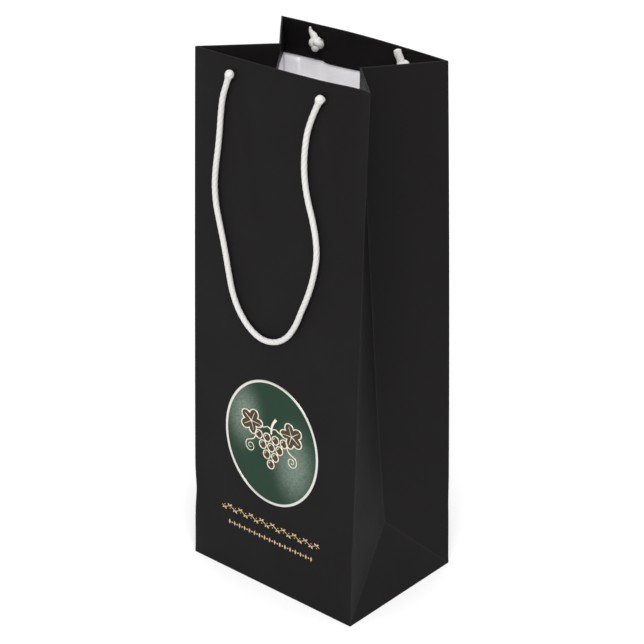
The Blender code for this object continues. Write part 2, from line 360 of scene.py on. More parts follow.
def linear(hex_colour: str) -> tuple[float, float, float, float]:
    """An sRGB hex colour as linear RGBA.

    Args:
        hex_colour: such as "#272526".

    Returns:
        Linear red, green, blue and an alpha of 1.
    """
    channels = [int(hex_colour[i:i + 2], 16) / 255.0 for i in (1, 3, 5)]
    r, g, b = (c / 12.92 if c <= 0.04045 else ((c + 0.055) / 1.055) ** 2.4 for c in channels)
    return r, g, b, 1.0


def add_node(material: bpy.types.Material, kind: str, settings: dict | None = None,
             links: dict | None = None) -> bpy.types.Node:
    """Add one node with its settings and incoming links.

    Args:
        material: the material that gets it.
        kind: the node's Blender type.
        settings: values for its sockets, or for its own properties where no socket has that name or number.
        links: input socket to the output socket that feeds it.

    Returns:
        The node.
    """
    node = material.node_tree.nodes.new(kind)
    for key, value in (settings or {}).items():
        if isinstance(key, int) or key in node.inputs:
            node.inputs[key].default_value = value
        else:
            setattr(node, key, value)
    for key, source in (links or {}).items():
        material.node_tree.links.new(source, node.inputs[key])
    return node


def new_material(name: str, **sockets: float | tuple) -> tuple[bpy.types.Material, bpy.types.Node]:
    """A material and its Principled shader.

    Args:
        name: the material's name.
        sockets: constant shader inputs, with underscores for spaces.

    Returns:
        The material and its shader node.
    """
    material = bpy.data.materials.new(name)
    material.use_nodes = True
    shader = material.node_tree.nodes["Principled BSDF"]
    for key, value in sockets.items():
        shader.inputs[key.replace("_", " ")].default_value = value
    return material, shader


def wire(material: bpy.types.Material, source: bpy.types.NodeSocket, shader: bpy.types.Node,
         socket: str) -> None:
    """Feed one shader socket from one output."""
    material.node_tree.links.new(source, shader.inputs[socket])


@dataclass(frozen=True)
class LaminatedPaper:
    """Art paper printed solid black and covered with matt polypropylene film.

    The film's very fine texture spreads the reflection into a soft bloom, the fibres under it lift it in wide
    faint patches, and at the folds the film is rubbed a little greyer.
    """

    name: str = "matt_laminated_black_paper"
    ink: str = "#161415"
    rubbed: str = "#262425"
    roughness: float = 0.5
    specular: float = 0.06
    fibre_size: float = 0.9 * MM
    patch_size: float = 38 * MM

    def make(self) -> bpy.types.Material:
        """Build the material, which reads fold_distance, the distance to the nearest fold in millimetres.

        Returns:
            The material.
        """
        material, shader = new_material(self.name, Roughness=self.roughness, Specular_IOR_Level=self.specular)
        place = add_node(material, "ShaderNodeTexCoord").outputs["Object"]
        patch = add_node(material, "ShaderNodeTexNoise", {"Scale": 1 / self.patch_size, "Detail": 2.0},
                         {"Vector": place})
        fibre = add_node(material, "ShaderNodeTexNoise", {"Scale": 1 / self.fibre_size, "Detail": 4.0,
                                                          "Roughness": 0.6}, {"Vector": place})
        fold = add_node(material, "ShaderNodeAttribute", {"attribute_name": "fold_distance"})
        near = add_node(material, "ShaderNodeMapRange", {"From Min": 0.0, "From Max": 0.9, "To Min": 1.0,
                                                         "To Max": 0.0}, {"Value": fold.outputs["Fac"]})
        worn = add_node(material, "ShaderNodeMapRange", {"From Min": 0.35, "From Max": 0.75, "To Min": 0.15,
                                                         "To Max": 0.8}, {"Value": fibre.outputs["Fac"]})
        rub = add_node(material, "ShaderNodeMath", {"operation": "MULTIPLY"},
                       {0: near.outputs["Result"], 1: worn.outputs["Result"]})
        tint = add_node(material, "ShaderNodeMix", {"data_type": "RGBA", 6: linear(self.ink),
                                                    7: linear(self.rubbed)}, {0: rub.outputs["Value"]})
        wire(material, tint.outputs[2], shader, "Base Color")
        gloss = add_node(material, "ShaderNodeMapRange", {"From Min": 0.3, "From Max": 0.7,
                                                          "To Min": self.roughness - 0.05,
                                                          "To Max": self.roughness + 0.06},
                         {"Value": patch.outputs["Fac"]})
        wire(material, gloss.outputs["Result"], shader, "Roughness")
        bump = add_node(material, "ShaderNodeBump", {"Strength": 0.06, "Distance": 0.1 * MM},
                        {"Height": fibre.outputs["Fac"]})
        wire(material, bump.outputs["Normal"], shader, "Normal")
        return material


@dataclass(frozen=True)
class BarePaper:
    """Uncoated back or cut edge of the art paper, pressed wood fibre: dull, with a faint cloudy formation."""

    name: str
    light: str = "#fcfafc"
    dark: str = "#f3f1f4"
    fibre_size: float = 0.7 * MM
    cloud_size: float = 7 * MM

    def make(self) -> bpy.types.Material:
        """Build the material from a cloudy tint and a fibre bump.

        Returns:
            The material.
        """
        material, shader = new_material(self.name, Roughness=0.88, Specular_IOR_Level=0.3)
        place = add_node(material, "ShaderNodeTexCoord").outputs["Object"]
        cloud = add_node(material, "ShaderNodeTexNoise", {"Scale": 1 / self.cloud_size, "Detail": 5.0},
                         {"Vector": place})
        fibre = add_node(material, "ShaderNodeTexNoise", {"Scale": 1 / self.fibre_size, "Detail": 3.0},
                         {"Vector": place})
        tint = add_node(material, "ShaderNodeMix", {"data_type": "RGBA", 6: linear(self.dark),
                                                    7: linear(self.light)}, {0: cloud.outputs["Fac"]})
        wire(material, tint.outputs[2], shader, "Base Color")
        bump = add_node(material, "ShaderNodeBump", {"Strength": 0.15, "Distance": 0.1 * MM},
                        {"Height": fibre.outputs["Fac"]})
        wire(material, bump.outputs["Normal"], shader, "Normal")
        return material


@dataclass(frozen=True)
class GreyBoard:
    """Recycled grey board: a flecked, open fibre surface of mixed waste paper."""

    name: str = "recycled_grey_board"
    body: str = "#a39e95"
    fleck: str = "#6f6a62"
    fleck_size: float = 1.4 * MM

    def make(self) -> bpy.types.Material:
        """Build the material from flecks and a coarse fibre bump.

        Returns:
            The material.
        """
        material, shader = new_material(self.name, Roughness=0.92, Specular_IOR_Level=0.25)
        place = add_node(material, "ShaderNodeTexCoord").outputs["Object"]
        fleck = add_node(material, "ShaderNodeTexVoronoi", {"Scale": 1 / self.fleck_size, "Randomness": 1.0},
                         {"Vector": place})
        spot = add_node(material, "ShaderNodeMapRange", {"From Min": 0.05, "From Max": 0.32, "To Min": 0.75,
                                                         "To Max": 0.0}, {"Value": fleck.outputs["Distance"]})
        tint = add_node(material, "ShaderNodeMix", {"data_type": "RGBA", 6: linear(self.body),
                                                    7: linear(self.fleck)}, {0: spot.outputs["Result"]})
        wire(material, tint.outputs[2], shader, "Base Color")
        fibre = add_node(material, "ShaderNodeTexNoise", {"Scale": 1 / (0.5 * MM), "Detail": 4.0},
                         {"Vector": place})
        bump = add_node(material, "ShaderNodeBump", {"Strength": 0.3, "Distance": 0.15 * MM},
                        {"Height": fibre.outputs["Fac"]})
        wire(material, bump.outputs["Normal"], shader, "Normal")
        return material


@dataclass(frozen=True)
class CordFibre:
    """Soft-spun cotton-polyester yarn, bleached white: matt, with a light halo of stray fibres."""

    name: str = "spun_white_cord_yarn"
    # crest and furrow colours: the darker furrow colour is a painted shade
    crest: str = "#cbc9c7"
    groove: str = "#bebcb9"
    yarns: float = 26.0

    def make(self) -> bpy.types.Material:
        """Build the material, which reads groove, 0 on a strand's crest and 1 between strands; the colour is
        painted darker towards the furrows, a painted shade.

        Returns:
            The material.
        """
        material, shader = new_material(self.name, Roughness=0.85, Specular_IOR_Level=0.25, Sheen_Weight=0.25,
                                        Sheen_Roughness=0.5)
        uv = add_node(material, "ShaderNodeTexCoord").outputs["UV"]
        depth = add_node(material, "ShaderNodeAttribute", {"attribute_name": "groove"})
        # painted shade: the colour darkens towards the furrows between strands
        shade = add_node(material, "ShaderNodeMapRange", {"From Min": 0.55, "From Max": 1.0},
                         {"Value": depth.outputs["Fac"]})
        tint = add_node(material, "ShaderNodeMix", {"data_type": "RGBA", 6: linear(self.crest),
                                                    7: linear(self.groove)}, {0: shade.outputs["Result"]})
        wire(material, tint.outputs[2], shader, "Base Color")
        lay = add_node(material, "ShaderNodeMapping", {"Scale": (self.yarns, 1.0, 1.0)}, {"Vector": uv})
        yarn = add_node(material, "ShaderNodeTexNoise", {"Scale": 3.0, "Detail": 3.0, "Roughness": 0.6},
                        {"Vector": lay.outputs["Vector"]})
        bump = add_node(material, "ShaderNodeBump", {"Strength": 0.5, "Distance": 0.12 * MM},
                        {"Height": yarn.outputs["Fac"]})
        wire(material, bump.outputs["Normal"], shader, "Normal")
        return material


@dataclass(frozen=True)
class StampedFoil:
    """Hot-stamped metal foil on paper: a thin metallic layer that keeps a trace of the paper's unevenness."""

    name: str
    metal: str
    roughness: float = 0.34

    def make(self) -> bpy.types.Material:
        """Build the metallic material with a fine uneven bump.

        Returns:
            The material.
        """
        material, shader = new_material(self.name, Base_Color=linear(self.metal), Metallic=1.0,
                                        Roughness=self.roughness)
        place = add_node(material, "ShaderNodeTexCoord").outputs["Object"]
        grain = add_node(material, "ShaderNodeTexNoise", {"Scale": 1 / (0.6 * MM), "Detail": 3.0},
                         {"Vector": place})
        bump = add_node(material, "ShaderNodeBump", {"Strength": 0.12, "Distance": 0.05 * MM},
                        {"Height": grain.outputs["Fac"]})
        wire(material, bump.outputs["Normal"], shader, "Normal")
        return material


@dataclass(frozen=True)
class PearlInk:
    """Bottle green ink with two soft pale painted highlights across the disc, and a hide-like grain."""

    middle: tuple[float, float, float]
    name: str = "pearl_green_ink"
    deep: str = "#1f3629"
    glow: str = "#6c7b70"
    glow_spots: tuple = ((-23 * MM, 13 * MM, 21 * MM), (19 * MM, -9 * MM, 24 * MM))
    glow_height: float = 1.5           # how many times taller than wide a painted highlight is
    grain_size: float = 0.8 * MM

    def make(self) -> bpy.types.Material:
        """Build the material: each painted highlight is an upright oval fade to a pale colour, and the
        stronger of the two is taken.

        Returns:
            The material.
        """
        material, shader = new_material(self.name, Roughness=0.5, Specular_IOR_Level=0.09)
        place = add_node(material, "ShaderNodeTexCoord").outputs["Object"]
        level = None
        squeeze = (1.0, 1.0, 1 / self.glow_height)
        low = add_node(material, "ShaderNodeVectorMath", {"operation": "MULTIPLY", 1: squeeze}, {0: place})
        # painted highlights: two pale oval patches mixed into the ink's colour, strongest at their middles
        for across, up, reach in self.glow_spots:
            spot = (self.middle[0] + across, self.middle[1], (self.middle[2] + up) / self.glow_height)
            gap = add_node(material, "ShaderNodeVectorMath", {"operation": "DISTANCE", 1: spot},
                           {0: low.outputs["Vector"]})
            fade = add_node(material, "ShaderNodeMapRange",
                            {"From Min": 0.0, "From Max": reach, "To Min": 1.0, "To Max": 0.0,
                             "interpolation_type": "SMOOTHERSTEP"},
                            {"Value": gap.outputs["Value"]})
            if level is None:
                level = fade.outputs["Result"]
            else:
                level = add_node(material, "ShaderNodeMath", {"operation": "MAXIMUM"},
                                 {0: level, 1: fade.outputs["Result"]}).outputs["Value"]
        stretch = add_node(material, "ShaderNodeMapping", {"Scale": (0.45, 1.0, 1.0)}, {"Vector": place})
        grain = add_node(material, "ShaderNodeTexNoise", {"Scale": 1 / self.grain_size, "Detail": 2.0},
                         {"Vector": stretch.outputs["Vector"]})
        speck = add_node(material, "ShaderNodeMapRange", {"From Min": 0.3, "From Max": 0.7, "To Min": 0.55,
                                                          "To Max": 1.15}, {"Value": grain.outputs["Fac"]})
        painted_highlight_amount = add_node(material, "ShaderNodeMath", {"operation": "MULTIPLY", "use_clamp": True},
                          {0: level, 1: speck.outputs["Result"]})
        # the green, painted paler where the painted highlights lie, broken up by the grain
        tint = add_node(material, "ShaderNodeMix", {"data_type": "RGBA", 6: linear(self.deep),
                                                    7: linear(self.glow)}, {0: painted_highlight_amount.outputs["Value"]})
        wire(material, tint.outputs[2], shader, "Base Color")
        bump = add_node(material, "ShaderNodeBump", {"Strength": 0.2, "Distance": 0.08 * MM},
                        {"Height": grain.outputs["Fac"]})
        wire(material, bump.outputs["Normal"], shader, "Normal")
        return material


@dataclass(frozen=True)
class InkFill:
    """Matt bronze ink laid under the foil outlines, with the paper's tooth showing through."""

    name: str = "bronze_ink"
    ink: str = "#4a3a28"

    def make(self) -> bpy.types.Material:
        """Build the flat ink with a fine tooth in its tint.

        Returns:
            The material.
        """
        material, shader = new_material(self.name, Roughness=0.6, Specular_IOR_Level=0.25)
        place = add_node(material, "ShaderNodeTexCoord").outputs["Object"]
        tooth = add_node(material, "ShaderNodeTexNoise", {"Scale": 1 / (0.5 * MM), "Detail": 3.0},
                         {"Vector": place})
        tint = add_node(material, "ShaderNodeMix", {"data_type": "RGBA", 6: linear("#33281b"),
                                                    7: linear(self.ink)}, {0: tooth.outputs["Fac"]})
        wire(material, tint.outputs[2], shader, "Base Color")
        return material


@dataclass(frozen=True)
class FloorPaint:
    """Matt white studio floor."""

    name: str = "matt_white_floor"
    paint: str = "#fbfbfb"

    def make(self) -> bpy.types.Material:
        """Build the plain floor material.

        Returns:
            The material.
        """
        material, _ = new_material(self.name, Base_Color=linear(self.paint), Roughness=0.9,
                                   Specular_IOR_Level=0.1)
        return material


# ---- the bag's form ------------------------------------------------------------------------------

@dataclass(frozen=True)
class BagForm:
    """Where the printed face of the sheet lies, as a function.

    The walls are ruled between six upright folds. The middle fold of each gusset stands in by the root of
    (half gusset width squared - half depth squared), so each half gusset keeps its flat width everywhere.
    """

    width: float
    foot_depth: float
    mouth_depth: float
    height: float
    gusset_half: float = 49.5 * MM
    paper: float = 0.25 * MM
    hem_inset: float = 1.1 * MM        # printed face of the hem behind the printed face of the wall
    hem_depth: float = 23.4 * MM
    foot_dents: tuple = (1.1 * MM, 0.5 * MM, 0.0, 0.25 * MM, 1.0 * MM, 0.0)     # folds drawn in at the apex
    back_rise: float = 0.8 * MM        # the back wall's mouth fold lies this much higher in its middle

    # How far each fold has wandered at the mouth from the regular form: across, back, up, in millimetres
    drift: tuple = ((1.9, -0.1, -0.2), (2.5, 0.2, -0.2), (-3.8, -2.4, -1.4), (-1.7, -2.0, 0.0),
                    (-0.4, 0.9, 0.8), (-2.2, 0.7, -0.8))
    # and how much further each turns within the folded hem's height
    flare: tuple = ((0.0, 0.0, 0.0), (0.0, 0.0, 0.0), (1.3, 0.0, -0.4), (0.0, 0.0, 0.0), (0.0, 0.0, 0.0),
                    (3.6, 0.5, -0.6))
    # Wrinkles drawn from the cord holes, in millimetres: height, side of the hole, start from the hole, end
    # across and above the foot, and half width
    front_wrinkles: tuple = ((0.42, -1, (0, 0), (-9, 196), 4.2), (-0.3, -1, (7, 0), (4, 214), 6.0),
                             (0.45, 1, (0, 0), (55, 186), 4.5), (-0.3, 1, (-8, -4), (38, 205), 6.0))
    back_wrinkles: tuple = ((0.4, -1, (0, 0), (-14, 205), 4.5), (0.4, 1, (0, 0), (20, 215), 4.5))

    @classmethod
    def from_frame(cls) -> "BagForm":
        """Read the bag's size off the frame's front panel.

        Returns:
            The form.
        """
        low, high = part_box("front_panel")
        cad_paper = 0.3 * MM
        return cls(width=high.x - low.x, foot_depth=-2 * low.y, mouth_depth=-2 * (high.y - cad_paper),
                   height=high.z)

    def half_depth(self, z: Array) -> Array:
        """Half the distance between the broad walls at each height, falling evenly from foot to mouth."""
        return (self.foot_depth + (self.mouth_depth - self.foot_depth) * z / self.height) / 2

    def crease_inset(self, z: Array) -> Array:
        """How far the gusset's middle fold stands in from the side at each height."""
        return np.sqrt(self.gusset_half**2 - self.half_depth(z) ** 2)

    @property
    def apex(self) -> float:
        """Height of the point where the foot's two diagonal folds meet the gusset's middle fold.

        Returns:
            The height at which root of (half foot depth squared - inset squared) is the height itself.
        """
        height = self.foot_depth / 2
        for _ in range(20):
            height = math.sqrt((self.foot_depth / 2) ** 2 - float(self.crease_inset(height)) ** 2)
        return height

    def folds(self, z_corner: Array, z_crease: Array, inset: Array) -> Array:
        """The six folds' points in each row, counted as Corner counts them.

        Args:
            z_corner: height of each row at the four corners.
            z_crease: height of each row at the two middle folds.
            inset: how far each row lies inside the printed face; the walls' lines are moved in and met again.

        Returns:
            Points, rows x 6 x 3.
        """
        is_crease = np.array([0, 0, 1, 0, 0, 1], bool)
        side = np.array([-1, 1, 1, 1, -1, -1], float)
        end = np.array([-1, -1, 0, 1, 1, 0], float)
        z = np.where(is_crease, z_crease[:, None], z_corner[:, None])
        x = side * (self.width / 2 - is_crease * self.crease_inset(z))
        x = x - side * np.array(self.foot_dents) * hump(z, self.apex, 11 * MM) * (z > 0)
        wandered = MM * np.array(self.drift) * ((z / self.height) ** 2)[..., None]
        turned = smooth((z - self.height) / (20 * MM) + 1)[..., None]
        wandered = wandered + MM * np.array(self.flare) * turned
        xy = np.stack([x, end * self.half_depth(z)], axis=-1) + wandered[..., :2]
        run = unit(np.roll(xy, -1, axis=1) - xy)
        out = np.stack([run[..., 1], -run[..., 0]], axis=-1)
        before = np.roll(out, 1, axis=1)
        meet = (before + out) / (1 + np.sum(before * out, axis=-1, keepdims=True))
        xy = xy - inset[:, None, None] * meet
        return np.concatenate([xy, z[..., None] + wandered[..., 2:]], axis=-1)

    def share_at(self, face: Face, x: Array, z: Array) -> Array:
        """Share of the way along a broad wall at which it has a given X, at the height z.

        Args:
            face: the front or back wall.
            x: positions across.
            z: heights, of the same shape.

        Returns:
            The shares.
        """
        ring = self.folds(z.ravel(), z.ravel(), np.zeros(z.size))
        start, stop = ring[:, face, 0].reshape(z.shape), ring[:, (face + 1) % 6, 0].reshape(z.shape)
        return (x - start) / (stop - start)

    def rise(self, face: Face, along: Array, z: Array) -> Array:
        """How far a wall's points lie above their regular height: a half wave along the back's mouth."""
        wave = self.back_rise * np.sin(np.pi * np.clip(along, 0.0, 1.0)) * float(face is Face.BACK)
        return wave * smooth((z - self.height) / (45 * MM) + 1)

    def stand_out(self, end: End, x: Array, z: Array) -> Array:
        """How far a broad wall stands out of its regular plane at a place, from drift and swell together."""
        at = self.on_face(end.face, self.share_at(end.face, x, z), z)
        return end.value * at[..., 1] - self.half_depth(z)

    def relief(self, face: Face, along: Array, z: Array) -> Array:
        """How far the wall swells out of its ruled surface, dying away at every fold.

        Args:
            face: the wall.
            along: share of the way along the wall, 0 to 1.
            z: heights.

        Returns:
            Distance outward, in metres.
        """
        reach = self.width if face in (Face.FRONT, Face.BACK) else self.gusset_half
        edge = smooth(along * reach / (7 * MM)) * smooth((1 - along) * reach / (7 * MM))
        edge = edge * smooth(z / (14 * MM))
        below = self.height - z
        across = (along - 0.5) * reach
        if face is Face.FRONT:
            return edge * self._front_relief(across, z, below)
        if face is Face.BACK:
            return edge * self._back_relief(-across, z, below)
        return edge * self._gusset_relief(face, along, z, below)

    def _front_relief(self, x: Array, z: Array, below: Array) -> Array:
        """Front wall: bowed at the mouth and less so at its right end, with a slow hollow at mid height.

        Wrinkles run down from the cord holes, and a short ripple lies where the loop has pressed the paper.

        Args:
            x: places across, off the wall's middle.
            z: heights.
            below: distances below the mouth.

        Returns:
            Distance outward.
        """
        swell = 1.5 * MM * np.cos(np.pi * (x + 6 * MM) / self.width) * np.exp(-below / (85 * MM))
        swell -= 1.5 * MM * hump(x, 55 * MM, 13 * MM) * np.exp(-below / (45 * MM))
        swell -= 0.5 * MM * hump(x, 0.0, 40 * MM) * hump(z, 0.42 * self.height, 75 * MM)
        swell += self._wrinkles(self.front_wrinkles, x, z)
        swell += 0.22 * MM * hump(x, 41 * MM, 16 * MM) * hump(z, 172 * MM, 9 * MM)
        return swell + self._over_hem(below, 0.12 * MM) + self._cockle(x, z, 0.0)

    def _back_relief(self, x: Array, z: Array, below: Array) -> Array:
        """Back wall: bowed at the mouth, pressed in at the left cord hole, wrinkled below both holes.

        A shallow crease crosses it at half the foot's depth, where the bag folds flat.

        Args:
            x: places across, off the wall's middle.
            z: heights.
            below: distances below the mouth.

        Returns:
            Distance outward.
        """
        swell = 1.5 * MM * np.cos(np.pi * x / self.width) * np.exp(-below / (95 * MM))
        swell -= 0.6 * MM * hump(x, -HOLE_OFFSET, 15 * MM) * hump(below, 6 * MM, 16 * MM)
        swell += self._wrinkles(self.back_wrinkles, x, z)
        swell -= 0.35 * MM * hump(z, self.foot_depth / 2, 0.9 * MM)
        return swell + self._over_hem(below, 0.12 * MM) + self._cockle(x, z, 2.1)

    def _gusset_relief(self, face: Face, along: Array, z: Array, below: Array) -> Array:
        """Half gussets: a long soft belly in the back halves, a slight hollow in the front ones.

        Args:
            face: the half gusset.
            along: share of the way across it.
            z: heights.
            below: distances below the mouth.

        Returns:
            Distance outward.
        """
        bellies = {Face.RIGHT_BACK: 1.5, Face.LEFT_BACK: 1.1, Face.RIGHT_FRONT: -0.6,
                   Face.LEFT_FRONT: -0.8}
        belly = bellies[face] * MM * np.sin(np.pi * along) ** 2 * hump(z, 0.6 * self.height, 78 * MM)
        cockle = self._cockle(along * self.gusset_half, z, 1.3 * float(face))
        return belly + self._over_hem(below, 0.10 * MM) + cockle

    def _wrinkles(self, wrinkles: tuple, x: Array, z: Array) -> Array:
        """Sum of a wall's drawn wrinkles.

        Args:
            wrinkles: front_wrinkles or back_wrinkles.
            x: places across, off the wall's middle.
            z: heights.

        Returns:
            Distance outward.
        """
        total = np.zeros(np.broadcast(x, z).shape)
        for height, side, (right, up), (across, level), width in wrinkles:
            start = (side * HOLE_OFFSET + right * MM, self.height - HOLE_DROP + up * MM)
            end = (across * MM, level * MM)
            total += height * MM * pull_ridge(x, z, start, end, width * MM)
        return total

    def _over_hem(self, below: Array, step: float) -> Array:
        """How far the wall stands proud where the hem lies behind it: one smooth step at the hem's edge."""
        return step * (1 - smooth((below - self.hem_depth) / (1.6 * MM)))

    @staticmethod
    def _cockle(x: Array, z: Array, phase: float) -> Array:
        """The sheet's broad unevenness: three slow waves at unlike angles, together under 0.25 mm.

        Args:
            x: places across.
            z: heights.
            phase: where each wall's waves begin.

        Returns:
            Distance outward.
        """
        waves = 0.11 * np.sin(x / (17 * MM) + 0.6 * z / (31 * MM) + phase)
        waves = waves + 0.08 * np.sin(z / (24 * MM) - x / (40 * MM) + 1.7 * phase)
        return MM * (waves + 0.05 * np.sin((x + z) / (11 * MM) + 2.3 * phase))

    def on_face(self, face: Face, along: Array, z: Array, lift: float | Array = 0.0) -> Array:
        """Points on one wall, lifted off its printed face.

        Args:
            face: the wall.
            along: share of the way along the wall.
            z: heights, of the same shape.
            lift: distance outward from the printed face, negative inside the paper.

        Returns:
            Points, of the same shape x 3.
        """
        flat_z = z.ravel()
        ring = self.folds(flat_z, flat_z, np.zeros_like(flat_z))
        start, stop = ring[:, face], ring[:, (face + 1) % 6]
        run = unit((stop - start)[:, :2])
        out = np.column_stack([run[:, 1], -run[:, 0], np.zeros(len(run))])
        share = along.ravel()[:, None]
        swell = self.relief(face, along, z).ravel() + np.broadcast_to(lift, z.shape).ravel()
        points = start + share * (stop - start) + swell[:, None] * out
        points[:, 2] += self.rise(face, along, z).ravel()
        return points.reshape(*z.shape, 3)

    def on_wall(self, end: End, x: Array, z: Array, lift: float | Array = 0.0) -> Array:
        """Points on a broad wall, from their X instead of a share."""
        return self.on_face(end.face, self.share_at(end.face, x, z), z, lift)


@dataclass
class Columns:
    """The sheet's upright grid lines: along each wall, and bent round each fold."""

    form: BagForm
    hole_radius: float
    bend: float = 0.45 * MM            # the folded paper turns within this distance of the fold's line
    pitch: float = 2.7 * MM

    def __post_init__(self) -> None:
        """Lay the columns out in order round the bag, starting at the front left fold."""
        self.face: list[int] = []
        self.share: list[float] = []
        self.distance: list[float] = []
        self.round_weights: list[Array] = []
        self.sharp_weights: list[Array] = []
        self.at_fold: list[list[int]] = [[] for _ in Corner]
        self.on_wall: list[list[int]] = [[] for _ in Face]
        self.holes: list[Array] = []
        for face in Face:
            offsets = self._offsets(face)
            first = len(self.face)
            for offset in offsets:
                self._add_wall_column(face, offset)
            for hole in self._hole_offsets(face):
                middle = int(np.argmin(np.abs(offsets - hole)))
                self.holes.append(first + middle + np.arange(-2, 3))
            for turn in (0.25, 0.5, 0.75):
                self._add_fold_column((face + 1) % 6, turn)

    def _length(self, face: int) -> float:
        """The wall's nominal length across."""
        return self.form.width if face in (Face.FRONT, Face.BACK) else self.form.gusset_half

    def _hole_offsets(self, face: Face) -> Array:
        """Distances of a wall's cord holes from its first fold, in order; none on a gusset.

        Args:
            face: the wall.

        Returns:
            The distances.
        """
        if face not in HOLE_SHIFT:
            return np.empty(0)
        across = HOLE_SHIFT[face] + HOLE_OFFSET * np.array([-1.0, 1.0])
        height = np.full(2, self.form.height - HOLE_DROP)
        return np.sort(self.form.share_at(face, across, height)) * self._length(face)

    def _offsets(self, face: Face) -> Array:
        """Distances of a wall's columns from its first fold: close at the folds and round the cord holes.

        Args:
            face: the wall.

        Returns:
            The distances, rising.
        """
        length = self._length(face)
        near = np.array([self.bend, 1.0 * MM, 2.0 * MM])
        parts, start = [], near[-1]
        ring = self.hole_radius * HOLE_STEPS
        for hole in self._hole_offsets(face):
            parts += [self._between(start, hole + ring[0]), hole + ring]
            start = hole + ring[-1]
        parts.append(self._between(start, length - near[-1]))
        return np.concatenate([near, *parts, (length - near)[::-1]])

    def _between(self, start: float, stop: float) -> Array:
        """Distances spread evenly between two others, about a pitch apart, neither end included."""
        count = int(round((stop - start) / self.pitch))
        return np.linspace(start, stop, count, endpoint=False)[1:]

    def _add_wall_column(self, face: int, offset: float) -> None:
        """One column on a wall, a fixed share of the way between its folds.

        Args:
            face: the wall.
            offset: distance from the wall's first fold.
        """
        share = offset / self._length(face)
        weights = np.zeros(6)
        weights[face] = 1 - share
        weights[(face + 1) % 6] = share
        self.on_wall[face].append(len(self.face))
        self.face.append(face)
        self.share.append(share)
        self.distance.append(min(offset, self._length(face) - offset))
        self.round_weights.append(weights)
        self.sharp_weights.append(weights)

    def _add_fold_column(self, corner: int, turn: float) -> None:
        """One column round a fold: the quadratic curve from bend before the fold to bend after it.

        Args:
            corner: the fold.
            turn: share of the way round it.
        """
        before, after = (corner - 1) % 6, (corner + 1) % 6
        weights = np.zeros(6)
        lead, trail = (1 - turn) ** 2, turn**2
        step_back, step_on = self.bend / self._length(before), self.bend / self._length(corner)
        weights[before] += lead * step_back
        weights[after] += trail * step_on
        weights[corner] += 1 - lead * step_back - trail * step_on
        sharp = np.zeros(6)
        sharp[corner] = 1.0
        self.at_fold[corner].append(len(self.face))
        self.face.append(before)
        self.share.append(1.0)
        self.distance.append(0.0)
        self.round_weights.append(weights)
        self.sharp_weights.append(sharp)


